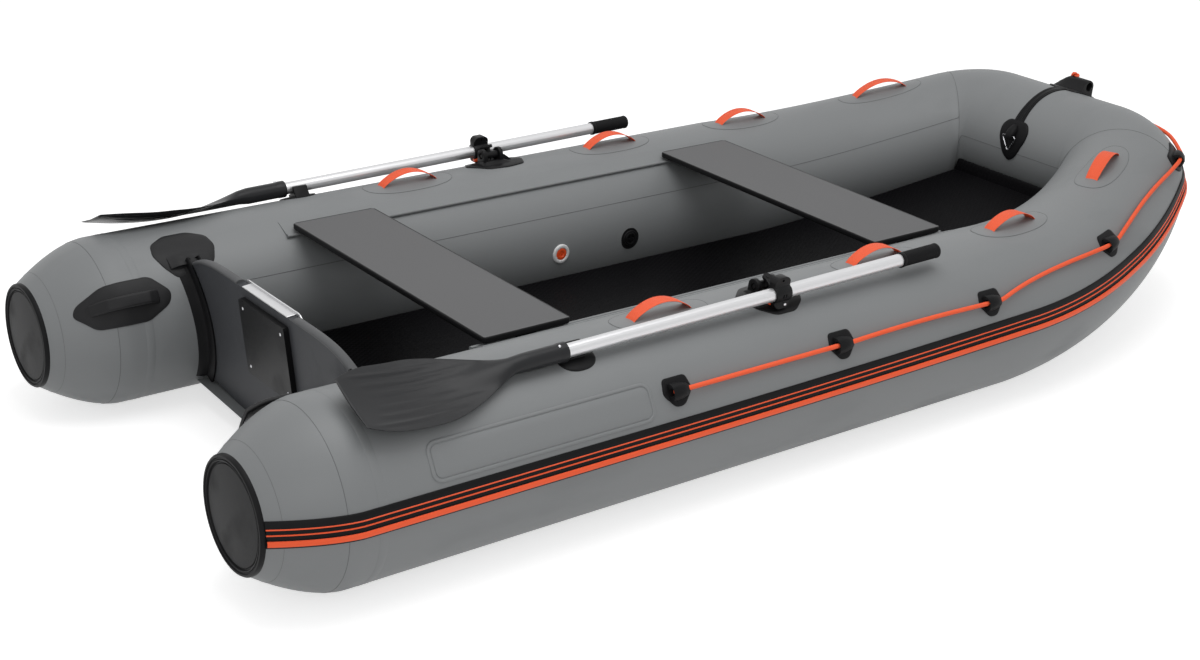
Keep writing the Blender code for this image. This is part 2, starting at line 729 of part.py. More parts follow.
def add_bottom():
    """The boat's bottom: a sheet glued under the tubes, keeled along the middle."""
    runs = [BOTTOM_START, 1.4] + bow_runs(STRAIGHT, CORNER_START, 5) + [CORNER_MID, CORNER_END]
    bm = bmesh.new()
    grids = []
    for thickness in (0.0, BOTTOM_SKIN):
        grid = []
        for run in runs:
            row = [bottom_point(run, share) + Vector((0, 0, thickness)) for share in BOTTOM_SHARES]
            full = row + [MIRROR @ point for point in reversed(row[:-1])]
            grid.append([bm.verts.new(point) for point in full])
        grids.append(grid)
        for low, high in zip(grid, grid[1:]):
            for index in range(len(low) - 1):
                bm.faces.new((low[index], low[index + 1], high[index + 1], high[index]))
    under, over = grids
    border = [(i, 0) for i in range(len(under))] + [(-1, j) for j in range(1, len(under[0]))]
    border += [(i, -1) for i in reversed(range(len(under) - 1))]
    border += [(0, j) for j in reversed(range(1, len(under[0]) - 1))]
    for (i, j), (k, m) in zip(border, border[1:] + border[:1]):
        bm.faces.new((under[i][j], under[k][m], over[k][m], over[i][j]))
    add_object("bottom_skin", finish_mesh(bm, "bottom_skin"), "hull_fabric")


# Transom

def transom_x(height):
    """The board's middle plane, which leans aft towards its top."""
    return RIM_X + TRANSOM_STATION - (height - TUBE_RADIUS) * math.tan(TRANSOM_RAKE)


TRANSOM_FRAME = Matrix.Translation((RIM_X + TRANSOM_STATION, 0, TUBE_RADIUS)) @ Matrix.Rotation(
    -TRANSOM_RAKE, 4, "Y")


def transom_panel(name, outline, low, high, slot=None):
    """A flat panel of (across, height) points in the transom's leaning plane."""
    stretch = 1 / math.cos(TRANSOM_RAKE)
    flat = [(y, (z - TUBE_RADIUS) * stretch) for y, z in outline]
    return prism(name, flat, low, high, slot, TRANSOM_FRAME, "X")


def add_transom():
    """Board, outer motor pad and inner clamp plate."""
    half = TRANSOM_THICKNESS / 2
    reach = TUBE_RADIUS + HOLDER_WEB + HOLDER_CLEARANCE
    side = []
    for step in range(9):
        angle = math.radians(44) + (HOLDER_END - math.radians(44)) * step / 8
        side.append((TUBE_AXIS_Y - reach * math.sin(angle), TUBE_RADIUS + reach * math.cos(angle)))
    top = TRANSOM_TOP
    shoulder = []
    for share in (0.0, 0.35, 0.6, 0.8, 0.92):
        shoulder.append((TRANSOM_LEVEL_HALF + (side[0][0] - TRANSOM_LEVEL_HALF) * share,
                         top - (top - side[0][1]) * share ** 4))
    foot = []
    clear = BOTTOM_SKIN + half * math.sin(TRANSOM_RAKE) + SEAM_GAP
    for share in BOTTOM_SHARES[1:]:
        point = bottom_point(TRANSOM_STATION, share)
        foot.append((point.y, point.z + clear))
    port = [*shoulder, *side, *foot]
    outline = port + [(-y, z) for y, z in reversed(port[:-1])]
    transom_panel("transom_board", outline, -half, half, "transom_board")

    low = top - PAD_BELOW_TOP - PAD_HEIGHT / 2
    pad = [(y, z + low) for y, z in rounded_outline(PAD_WIDTH, PAD_HEIGHT, 0.008, 2)]
    outer = -half - SEAM_GAP
    transom_panel("motor_pad", pad, outer - PAD_THICKNESS, outer, "black_plastic")

    middle = top + PLATE_ABOVE_TOP - PLATE_HEIGHT / 2
    plate = [(y, z + middle) for y, z in rounded_outline(PLATE_WIDTH, PLATE_HEIGHT, 0.02, 3)]
    inner = half + SEAM_GAP
    made = transom_panel("motor_plate", plate, inner, inner + PLATE_THICKNESS, "aluminium")
    ledge = top + SEAM_GAP
    flange = [(y, z + ledge + PLATE_THICKNESS / 2)
              for y, z in rounded_outline(PLATE_FLANGE_WIDTH, PLATE_THICKNESS, 0.001, 1)]
    join(made, transom_panel("plate_flange", flange, -half, inner + PLATE_THICKNESS / 2))


def add_transom_holder():
    """Rubber channel down the tube's inner side that grips the board's end, under a glued cap."""
    half = TRANSOM_THICKNESS / 2 / math.cos(TRANSOM_RAKE) + SEAM_GAP
    lip = half + HOLDER_LIP_THICKNESS
    profile = (
        (-HOLDER_HALF_WIDTH, -0.003), (-HOLDER_HALF_WIDTH, 0.0015), (-lip - 0.004, HOLDER_WEB),
        (-lip, HOLDER_LIP), (-half, HOLDER_LIP), (-half, HOLDER_WEB), (half, HOLDER_WEB),
        (half, HOLDER_LIP), (lip, HOLDER_LIP), (lip + 0.004, HOLDER_WEB),
        (HOLDER_HALF_WIDTH, 0.0015), (HOLDER_HALF_WIDTH, -0.003),
    )
    rings = []
    steps = 9
    for step in range(steps + 1):
        angle = HOLDER_START + (HOLDER_END - HOLDER_START) * step / steps
        ring = []
        for across, lift in profile:
            reach = TUBE_RADIUS + lift
            y = TUBE_AXIS_Y - reach * math.sin(angle)
            z = TUBE_RADIUS + reach * math.cos(angle)
            ring.append(Vector((transom_x(z) + across, y, z)))
        rings.append(ring)
    station = transom_x(2 * TUBE_RADIUS) - RIM_X
    frame = seat_frame(station, -HOLDER_START)
    made = world_loft("transom_holder_port", rings, "black_rubber", frame)
    length, width = HOLDER_CAP_HALF_LENGTH, HOLDER_CAP_HALF_WIDTH
    fore = [(0.35, 0.95), (0.80, 0.65), (1.0, 0.05), (0.87, -0.57), (0.57, -1.0)]
    outline = [(length * u, width * v) for u, v in fore]
    outline += [(-u, v) for u, v in reversed(outline)]
    cap = tube_pad("holder_cap_port", station, -math.radians(30), outline,
                   ((1.0, -0.004), (1.0, 0.0015), (0.94, 0.0035), (0.45, 0.0045)), None)
    join(made, cap)
    seat_on_hull(made)


# Seats

def add_seat_track():
    """A glued strip with a round welt along its lower edge, which the seats' sliders ride."""
    upper = TRACK_ANGLE - TRACK_WIDTH / TUBE_RADIUS
    middle_angle = (upper + TRACK_ANGLE) / 2
    corners = [(index + 0.5) * 2 * math.pi / TUBE_SIDES for index in range(TUBE_SIDES)]
    lower = TRACK_ANGLE - 2 * WELT_RADIUS / TUBE_RADIUS
    outer = [upper] + [turn for turn in corners if upper < turn < lower] + [lower]
    rings = []
    for run in (TRACK_START, TRACK_END):
        ring = [hull_point(run, -upper, -0.003)]
        ring += [hull_point(run, -turn, facet_rise(turn) + TRACK_THICKNESS) for turn in outer]
        middle = hull_point(run, -TRACK_ANGLE, WELT_RADIUS + TRACK_THICKNESS)
        for step in range(7):
            angle = math.radians(110 - 220 * step / 6) - TRACK_ANGLE
            ring.append(middle + WELT_RADIUS * Vector((0, math.sin(angle), math.cos(angle))))
        ring.append(hull_point(run, -TRACK_ANGLE, -0.003))
        ring.append(hull_point(run, -middle_angle, -0.003))
        rings.append(ring)
    made = world_loft("seat_track_port", rings, "hull_fabric", seat_frame(TRACK_START, -upper))
    seat_on_hull(made)


def add_seat(name, station):
    """A bench plank with a slider under each end."""
    frame = Matrix.Translation((RIM_X + station, 0, SEAT_TOP))
    outline = rounded_outline(SEAT_WIDTH, SEAT_LENGTH, 0.010, 2)
    rings = []
    for inset, level in ((0.002, -SEAT_THICKNESS), (0.0, -SEAT_THICKNESS + 0.002),
                         (0.0, -0.002), (0.002, 0.0)):
        grow = 1 - 2 * inset / SEAT_WIDTH, 1 - 2 * inset / SEAT_LENGTH
        rings.append([Vector((x * grow[0], y * grow[1], level)) for x, y in outline])
    seat = loft(name, rings, "seat_board", frame)
    welt = hull_point(station, -TRACK_ANGLE, WELT_RADIUS + TRACK_THICKNESS)
    roof = welt.z + WELT_RADIUS + 0.0015 - SEAT_TOP
    edge = welt.y - WELT_RADIUS - 0.0015
    for label, side in (("port", 1), ("starboard", -1)):
        profile = [(edge - 0.018, -SEAT_THICKNESS + 0.001), (edge + 0.020, -SEAT_THICKNESS + 0.001),
                   (edge + 0.020, roof), (edge, roof), (edge, roof - 0.014),
                   (edge - 0.006, roof - 0.018), (edge - 0.018, roof)]
        outline = [(side * y, z) for y, z in profile]
        join(seat, prism(f"{name}_slider_{label}", outline, -SLIDER_LENGTH / 2, SLIDER_LENGTH / 2,
                         None, frame, "X"))
    return seat


# Glued fittings

def add_grab_handle(number, run):
    """A webbing loop with flat glued tabs at its ends."""
    half = HANDLE_SPAN / 2
    stations = [(-half - HANDLE_TAB, 0.0), (-half, 0.0)]
    for step in range(1, 10):
        share = step / 10
        stations.append((-half + HANDLE_SPAN * share, math.sin(math.pi * share) ** 0.75))
    stations += [(half, 0.0), (half + HANDLE_TAB, 0.0)]
    rings = []
    for along, height in stations:
        low = HANDLE_HEIGHT * height - 0.003 * (height == 0)
        high = HANDLE_HEIGHT * height + WEBBING
        ring = []
        for lift, side in ((low, -1), (low, 1), (high, 1), (high, -1)):
            angle = side * HANDLE_WIDTH / 2 / tube_radius(run)
            ring.append(hull_point(run + along, angle, lift))
        rings.append(ring)
    made = world_loft(f"grab_handle_port_{number}", rings, "webbing", seat_frame(run, 0.0))
    seat_on_hull(made)
    return made


def lifeline_fitting(name, run, angle):
    """A glued five-sided pad with a hood, bored along the tube for the rope."""
    outline = egg_outline(FITTING_LENGTH, FITTING_WIDTH, 2.4, 0.30, 12)
    steps = ((1.0, -0.007), (1.0, 0.0015), (0.88, 0.0035), (0.62, 0.35 * FITTING_HEIGHT),
             (0.52, 0.85 * FITTING_HEIGHT), (0.34, FITTING_HEIGHT))
    made = tube_pad(name, run, angle, outline, steps, "black_rubber")
    frame = made.matrix_world @ Matrix.Translation((0, 0, ROPE_LIFT))
    cut(made, bore(f"{name}_hole", ROPE_HOLE_RADIUS, -FITTING_LENGTH, FITTING_LENGTH, frame,
                   "X", 10))
    return made


def add_lifeline_fittings():
    """Three fittings a side on the side tubes; the bow panels carry their two welded on."""
    for number, (run, angle) in enumerate(zip(FITTING_STATIONS, FITTING_ANGLES), 1):
        if run < STRAIGHT:
            made = lifeline_fitting(f"lifeline_fitting_port_{number}", run, angle)
            seat_on_hull(made)
            mirrored(made)
        else:
            made = lifeline_fitting(f"bow_fitting_port_{number}", run, angle)
            join(bpy.data.objects["bow_side_port"], made)


def add_lifeline():
    """The grab rope round the boat, threaded through every fitting and taut round the bow."""
    route = []
    stations = [*FITTING_STATIONS, HALF_RUN]
    angles = [*FITTING_ANGLES, FITTING_ANGLES[-1]]
    for index, climb in enumerate(ROPE_CLIMB):
        here, there = stations[index:index + 2]
        angle, turn = angles[index], angles[index + 1] - angles[index]
        last = there == HALF_RUN
        hole = seat_frame(here, angle)
        for along in (-ROPE_STRAIGHT if index else -ROPE_END, ROPE_STRAIGHT):
            route.append(hole @ Vector((along, 0, ROPE_LIFT)))
        start = here + ROPE_STRAIGHT
        end = there if last else there - ROPE_STRAIGHT
        count = max(2, round((end - start) / ROPE_STEP))
        for step in range(1, count):
            share = step / count
            ease = math.sin(math.pi * (share / 2 if last else share))
            lift = ROPE_LIFT + (ROPE_SLACK_LIFT - ROPE_LIFT) * ease ** 0.5
            place = angle + turn * share - climb * ease
            route.append(hull_point(start + (end - start) * share, place, lift))
    route.append(hull_point(HALF_RUN, FITTING_ANGLES[-1], ROPE_SLACK_LIFT))
    route += [MIRROR @ point for point in reversed(route[:-1])]
    curve = bpy.data.curves.new("lifeline", "CURVE")
    curve.dimensions = "3D"
    curve.bevel_depth = ROPE_RADIUS
    curve.bevel_resolution = 2
    curve.use_fill_caps = True
    spline = curve.splines.new("POLY")
    spline.points.add(len(route) - 1)
    for point, place in zip(spline.points, route):
        point.co = (*place, 1.0)
    curve.materials.append(material("rope"))
    made = bpy.data.objects.new("lifeline", curve)
    bpy.context.collection.objects.link(made)


def add_carry_handle():
    """A moulded grip on a long six-sided pad at the stern."""
    length, width = CARRY_LENGTH / 2, CARRY_WIDTH / 2
    outline = [(length, 0.12 * width), (0.62 * length, width), (-0.40 * length, width),
               (-0.92 * length, 0.45 * width), (-length, -0.10 * width),
               (-0.62 * length, -width), (0.42 * length, -width), (0.92 * length, -0.40 * width)]
    made = tube_pad("carry_handle_port", CARRY_STATION, -CARRY_ANGLE, outline,
                    ((1.0, -0.003), (1.0, 0.002), (0.93, 0.005), (0.45, 0.0055)), "black_rubber")
    half = CARRY_GRIP_SPAN / 2
    section = rounded_outline(CARRY_GRIP_WIDTH, 0.013, 0.005, 1)
    rings = []
    for share in (-1.0, -0.95, -0.82, -0.6, -0.3, 0.0, 0.3, 0.6, 0.82, 0.95, 1.0):
        height = CARRY_GRIP_HEIGHT * (1 - max(0.0, abs(share) - 0.6) / 0.4) ** 0.6 - 0.004
        ring = []
        for v, w in section:
            angle = -CARRY_ANGLE + v / TUBE_RADIUS
            squeeze = max(height, 0.001)
            ring.append(hull_point(CARRY_STATION + share * half, angle, squeeze - 0.006 + w))
        rings.append(ring)
    join(made, world_loft("carry_grip_port", rings, None, made.matrix_world))
    seat_on_hull(made)


def add_bow_gear():
    """Bow fitting with its cross bore, the strap down to the shield, and the towing ring."""
    outline = egg_outline(BOW_FITTING_LENGTH, BOW_FITTING_WIDTH, 2.2, 0.0, 16)
    made = tube_pad("bow_fitting", HALF_RUN, BOW_FITTING_ANGLE, outline,
                    ((1.0, -0.003), (1.0, 0.003), (0.94, 0.005), (0.5, 0.006)), "black_plastic")
    outer = BOW_BORE_RADIUS + BOW_BORE_WALL
    profile = [(-BOW_BODY_WIDTH / 2, 0.0), (BOW_BODY_WIDTH / 2, 0.0)]
    for step in range(9):
        angle = math.radians(15 + 150 * step / 8)
        profile.append((outer * math.cos(angle), BOW_BORE_HEIGHT + outer * math.sin(angle)))
    half = BOW_BODY_LENGTH / 2
    place = made.matrix_world
    join(made, prism("bow_fitting_body", profile, -half, half, None, place, "X"))
    hole = place @ Matrix.Translation((0, 0, BOW_BORE_HEIGHT))
    cut(made, bore("bow_bore", BOW_BORE_RADIUS, -half - 0.01, half + 0.01, hole, "X", 14))
    seat_on_hull(made)
    add_bow_strap()


def add_bow_strap():
    half = STRAP_WIDTH / 2
    start = BOW_FITTING_ANGLE - (BOW_FITTING_WIDTH / 2 + 0.002) / BOW_RADIUS
    end = -SHIELD_ANGLE + 0.4 * SHIELD_LENGTH / BOW_RADIUS
    rings = []
    steps = 10
    for step in range(steps + 1):
        angle = start + (end - start) * step / steps
        rings.append([hull_point(HALF_RUN + side * half, angle, lift)
                      for lift, side in ((-0.003, -1), (STRAP_THICKNESS, -1),
                                         (STRAP_THICKNESS, 1), (-0.003, 1))])
    made = world_loft("bow_strap", rings, "black_rubber", seat_frame(HALF_RUN, -SHIELD_ANGLE))
    length, width = SHIELD_LENGTH / 2, SHIELD_WIDTH / 2
    outline = [(0, -length), (0.55 * width, -0.66 * length), (0.95 * width, 0.10 * length),
               (width, 0.62 * length), (0.70 * width, 0.92 * length), (0, length),
               (-0.70 * width, 0.92 * length), (-width, 0.62 * length),
               (-0.95 * width, 0.10 * length), (-0.55 * width, -0.66 * length)]
    shield = tube_pad("strap_shield", HALF_RUN, -SHIELD_ANGLE, outline,
                      ((1.0, -0.003), (1.0, 0.002), (0.9, 0.005), (0.4, 0.006)), None)
    place = made.matrix_world
    loop = prism("shield_loop", rounded_outline(0.030, 0.026, 0.006, 2), 0.0,
                 RING_EYE_HEIGHT + 0.008, None, place @ Matrix.Translation((0, 0.012, 0)))
    join(made, shield, loop)
    eye = place @ Matrix.Translation((0, 0.012, RING_EYE_HEIGHT))
    cut(made, bore("shield_eye", RING_WIRE + RUNNING_FIT, -0.03, 0.03, eye, "X", 10))
    seat_on_hull(made)
    add_towing_ring(eye @ Matrix.Rotation(RING_HANG, 4, "X"))


def add_towing_ring(eye):
    """A triangular ring of round wire that hangs from the shield's loop."""
    half = RING_SIZE / 2
    corner = 0.006
    centres = [(-half + corner, 0.0), (half - corner, 0.0), (0.0, -RING_SIZE + 2 * corner)]
    points = []
    turns = ((180, 90), (90, -30), (-30, -180))
    for (u, v), (first, last) in zip(centres, turns):
        for step in range(4):
            angle = math.radians(first + (last - first) * step / 3)
            shift = corner if v == 0 else 0.0
            points.append((u + corner * math.cos(angle), v - shift + corner * math.sin(angle)))
    rings = []
    count = len(points)
    for index, (u, v) in enumerate(points):
        before, after = points[index - 1], points[(index + 1) % count]
        along = Vector((after[0] - before[0], after[1] - before[1], 0)).normalized()
        across = along.cross(Vector((0, 0, 1)))
        ring = []
        for step in range(8):
            turn = (step + 0.5) * math.pi / 4
            ring.append(Vector((u, v, 0)) + RING_WIRE * (math.cos(turn) * across
                                                         + math.sin(turn) * Vector((0, 0, 1))))
        rings.append(ring)
    bm = bmesh.new()
    loops = add_loft(bm, rings, capped=False)
    for index in range(8):
        after = (index + 1) % 8
        bm.faces.new((loops[-1][index], loops[-1][after], loops[0][after], loops[0][index]))
    add_object("towing_ring", finish_mesh(bm, "towing_ring"), "ring_steel", eye)


# Oars

def oar_frames():
    """The barrel's frame, along the tube, and the clamp's, whose Z is the stud's axis."""
    centre = hull_point(OARLOCK_STATION, OARLOCK_ANGLE, BARREL_LIFT)
    barrel = Matrix.Translation(centre)
    clamp = barrel @ Matrix.Rotation(-PIN_TILT, 4, "X")
    return barrel, clamp


def shaft_frame():
    """The shaft's frame: origin in the clamp, X along the shaft to the grip."""
    barrel = oar_frames()[0]
    place = barrel @ Matrix.Translation((0, SHAFT_OFFSET, -SHAFT_DROP))
    return place @ Matrix.Rotation(-SHAFT_SLOPE, 4, "Y")


def add_oarlock():
    """Base glued on the tube, the barrel that tips in its two horns, and the oar's clamp."""
    barrel_frame, clamp_frame = oar_frames()
    outline = egg_outline(OARLOCK_PAD_LENGTH, OARLOCK_PAD_WIDTH, 2.2, 0.0, 16)
    base = tube_pad("oarlock_base_port", OARLOCK_STATION + 0.012, OARLOCK_ANGLE, outline,
                    ((1.0, -0.003), (1.0, 0.002), (0.93, 0.004), (0.6, 0.0045)), "black_plastic")
    lean = barrel_frame @ Matrix.Rotation(-OARLOCK_ANGLE, 4, "X")
    gap = BARREL_RADIUS + 0.006
    horn_out = BARREL_LENGTH / 2 + HORN_THICKNESS + 0.001
    foot = -BARREL_LIFT - 0.002
    rings = [[Vector((x, y, z)) for x, y in ((front, side), (front, -side), (-back, -side),
                                             (-back, side))]
             for z, front, back, side in ((foot, 0.082, 0.052, 0.030), (-gap, horn_out + 0.012,
                                                                       horn_out, 0.017))]
    body = loft("oarlock_body_port", rings, None, lean)
    profile = [(-HORN_RADIUS, -gap - 0.004), (HORN_RADIUS, -gap - 0.004)]
    for step in range(9):
        angle = math.pi * step / 8
        profile.append((HORN_RADIUS * math.cos(angle), HORN_RADIUS * math.sin(angle)))
    inner = BARREL_LENGTH / 2 + 0.001
    fore = prism("oarlock_fore_horn_port", profile, inner, horn_out, None, lean, "X")
    aft = prism("oarlock_aft_horn_port", profile, -horn_out, -inner, None, lean, "X")
    join(base, body, fore, aft)
    cut(base, bore("oarlock_bore_port", TRUNNION_RADIUS + RUNNING_FIT, -0.06, 0.06,
                   barrel_frame, "X", 14))
    seat_on_hull(base)
    mirrored(base)

    long_half = BARREL_LENGTH / 2
    end = horn_out - 0.001
    barrel = turned("oarlock_barrel_port",
                    ((0, -end), (TRUNNION_RADIUS, -end), (TRUNNION_RADIUS, -long_half),
                     (BARREL_RADIUS, -long_half), (BARREL_RADIUS, long_half),
                     (TRUNNION_RADIUS, long_half), (TRUNNION_RADIUS, end), (0, end)),
                    "black_plastic", barrel_frame, 14, "X")
    cut(barrel, bore("barrel_cross_bore_port", STUD_RADIUS + RUNNING_FIT, -0.03, 0.03,
                     clamp_frame, "Z", 12))
    mirrored(barrel)


def add_oar_clamp():
    """Two-eared clamp on the shaft, its stud standing in the barrel."""
    clamp_frame = oar_frames()[1]
    shaft = shaft_frame()
    ear = CLAMP_EAR / 2
    side = [(CLAMP_RADIUS * math.cos(math.radians(a)), CLAMP_RADIUS * math.sin(math.radians(a)))
            for a in (62, 36, 12, -12, -36, -62)]
    outboard = [(ear, CLAMP_UP)] + side + [(ear, -CLAMP_DOWN)]
    outline = outboard + [(-y, z) for y, z in reversed(outboard)]
    made = prism("oar_clamp_port", outline, -CLAMP_LENGTH / 2, CLAMP_LENGTH / 2,
                 "black_plastic", shaft, "X")
    height = CLAMP_UP + CLAMP_DOWN
    face = [(x, z + (CLAMP_UP - CLAMP_DOWN) / 2)
            for x, z in rounded_outline(CLAMP_LENGTH, height, 0.016, 3)]
    boolean(made, tool(prism("clamp_face_port", face, -0.04, 0.04, None, shaft, "Y")), "INTERSECT")
    low = HORN_RADIUS + EYE_CLEARANCE
    high = low + EYE_THICKNESS
    eye = rod("clamp_eye_port", EYE_RADIUS, low, high, clamp_frame, "Z", 14)
    stud = rod("clamp_stud_port", STUD_RADIUS, -BARREL_RADIUS - 0.002, low + 0.002, clamp_frame,
               "Z", 12)
    reach = (clamp_frame.inverted() @ shaft).translation
    arm_outline = [(-0.011, 0.0), (0.011, 0.0), (0.014, reach.y - 0.012), (-0.014, reach.y - 0.012)]
    arm = prism("clamp_arm_port", arm_outline, low, high, None, clamp_frame, "Z")
    join(made, arm, eye, stud)
    cut(made, bore("clamp_bore_port", SHAFT_RADIUS + FIT, -0.05, 0.05, shaft, "X", SHAFT_SIDES))
    mirrored(made)


def add_shaft_and_grip():
    """Aluminium tube and its moulded, ribbed grip."""
    frame = shaft_frame()
    reach = 1 / math.cos(math.pi / SHAFT_SIDES)
    outer, inner = SHAFT_RADIUS * reach, (SHAFT_RADIUS - SHAFT_WALL) * reach
    aft, fore = -SHAFT_AFT - SHAFT_IN_SOCKET, SHAFT_FORE + GRIP_LENGTH - GRIP_CAP - 0.001
    shaft = turned("oar_shaft_port", ((outer, aft), (outer, fore), (inner, fore), (inner, aft)),
                   "aluminium", frame, SHAFT_SIDES, "X")
    hole = (SHAFT_RADIUS + FIT) * reach
    end = SHAFT_FORE + GRIP_LENGTH
    profile = [(0, end - GRIP_CAP), (hole, end - GRIP_CAP), (hole, SHAFT_FORE),
               (GRIP_RADIUS + 0.001, SHAFT_FORE)]
    ribs = 4
    for rib in range(ribs):
        start = SHAFT_FORE + 0.012 + (GRIP_LENGTH - 0.03) * rib / ribs
        profile += [(GRIP_RADIUS + 0.001, start), (GRIP_RADIUS, start + 0.005),
                    (GRIP_RADIUS, start + 0.016)]
    profile += [(GRIP_RADIUS + 0.001, end - 0.008), (GRIP_RADIUS - 0.003, end), (0, end)]
    grip = turned("oar_grip_port", profile, "black_rubber", frame, SHAFT_SIDES, "X")
    return shaft, grip


def blade_width(share):
    """Half the blade's width at a share of its length from the socket's mouth."""
    if share < 0.26:
        return SOCKET_RADIUS
    swell = min((share - 0.26) / 0.44, 1.0)
    width = SOCKET_RADIUS + (BLADE_HALF_WIDTH - SOCKET_RADIUS) * math.sin(swell * math.pi / 2) ** 1.2
    tip = max(0.0, (share - 0.82) / 0.18)
    return width - (BLADE_HALF_WIDTH - BLADE_TIP_HALF_WIDTH) * tip ** 2


def add_blade():
    """Scooped blade: a round socket that flattens into a ribbed spoon."""
    frame = shaft_frame() @ Matrix.Rotation(-BLADE_TILT, 4, "X")
    mouth = -SHAFT_AFT
    count = 16
    rings = []
    for share in (0.0, 0.02, 0.10, 0.20, 0.28, 0.34, 0.41, 0.50, 0.60, 0.72, 0.84, 0.93, 1.0):
        x = mouth - share * BLADE_LENGTH
        width = blade_width(share)
        flat = min(max((share - 0.20) / 0.45, 0.0), 1.0)
        spine = SOCKET_RADIUS * (1 - flat) ** 1.5
        dip = -BLADE_DIP * math.sin(min(max((share - 0.25) / 0.75, 0.0), 1.0) * math.pi)
        curl = (BLADE_CURL - BLADE_DIP) * max(0.0, (share - 0.55) / 0.45) ** 2
        ring = []
        for index in range(count):
            angle = (index + 0.5) * 2 * math.pi / count
            y = width * math.cos(angle)
            ridge = spine * math.exp(-(y / (1.1 * SOCKET_RADIUS)) ** 2 * flat)
            thick = max(ridge, BLADE_EDGE / 2)
            hollow = 0.010 * flat * (y / BLADE_HALF_WIDTH) ** 2
            ring.append(Vector((x, y, dip + curl + hollow + thick * math.sin(angle))))
        rings.append(ring)
    blade = loft("oar_blade_port", rings, "black_plastic", frame)
    depth = SHAFT_IN_SOCKET + 0.004
    cut(blade, bore("socket_bore_port", SHAFT_RADIUS + FIT, mouth - depth, mouth + 0.01,
                    shaft_frame(), "X", SHAFT_SIDES))
    return blade, frame


def add_oar():
    """Shaft, grip, blade and the snap button that locks the blade on."""
    shaft, grip = add_shaft_and_grip()
    blade, blade_frame = add_blade()
    button_frame = blade_frame @ Matrix.Translation((-SHAFT_AFT - BUTTON_BACK, 0, 0))
    hole = BUTTON_RADIUS + FIT
    for index, made in enumerate((shaft, blade)):
        cut(made, bore(f"button_hole_{index}_port", hole, 0.004, 0.04, button_frame, "Z", 12))
    top = SOCKET_RADIUS + BUTTON_PROUD
    head = SHAFT_RADIUS - SHAFT_WALL - 0.0012
    button = turned("oar_button_port",
                    ((0, head - 0.003), (BUTTON_RADIUS + 0.0012, head - 0.003),
                     (BUTTON_RADIUS + 0.0012, head), (BUTTON_RADIUS, head),
                     (BUTTON_RADIUS, top - 0.0015), (0.6 * BUTTON_RADIUS, top), (0, top)),
                    "ring_steel", button_frame, 12)
    pivot = empty("oar_pivot_port", oar_frames()[1])
    for made in (shaft, grip, blade, button):
        mirrored(made)
        parent(made, pivot)
    twin = empty("oar_pivot_starboard", MIRROR @ pivot.matrix_world @ MIRROR)
    for made in (shaft, grip, blade, button):
        parent(mirrored(made), twin)


def add_oar_rest():
    """A glued saddle that the stowed shaft lies on, with a low wall inboard of it."""
    shaft = shaft_frame()
    along = REST_STATION - OARLOCK_STATION
    centre = shaft @ Vector((along, 0, 0))
    tube_centre = centreline(REST_STATION)[0]
    angle = math.atan2(centre.y - tube_centre.y, centre.z - tube_centre.z)
    outline = egg_outline(REST_PAD_LENGTH, REST_PAD_WIDTH, 2.4, 0.0, 14)
    made = tube_pad("oar_rest_port", REST_STATION, angle, outline,
                    ((1.0, -0.003), (1.0, 0.0015), (0.9, 0.004), (0.7, 0.005)), "black_plastic")
    lean = Matrix.Translation(centre) @ Matrix.Rotation(-PIN_TILT, 4, "X")
    top = -SHAFT_RADIUS - SEAM_GAP
    wall = -SHAFT_RADIUS - 0.0025
    foot = -SHAFT_RADIUS - 0.020
    outline = [(0.013, foot), (0.013, top - 0.002), (0.010, top - 0.0005), (wall, top - 0.0005),
               (wall, -0.006), (wall - 0.004, -0.002), (wall - 0.009, -0.006), (wall - 0.012, foot)]
    saddle = prism("rest_saddle_port", outline, -REST_LENGTH / 2, REST_LENGTH / 2, None, lean, "X")
    join(made, saddle)
    seat_on_hull(made)
    mirrored(made)


# Valves

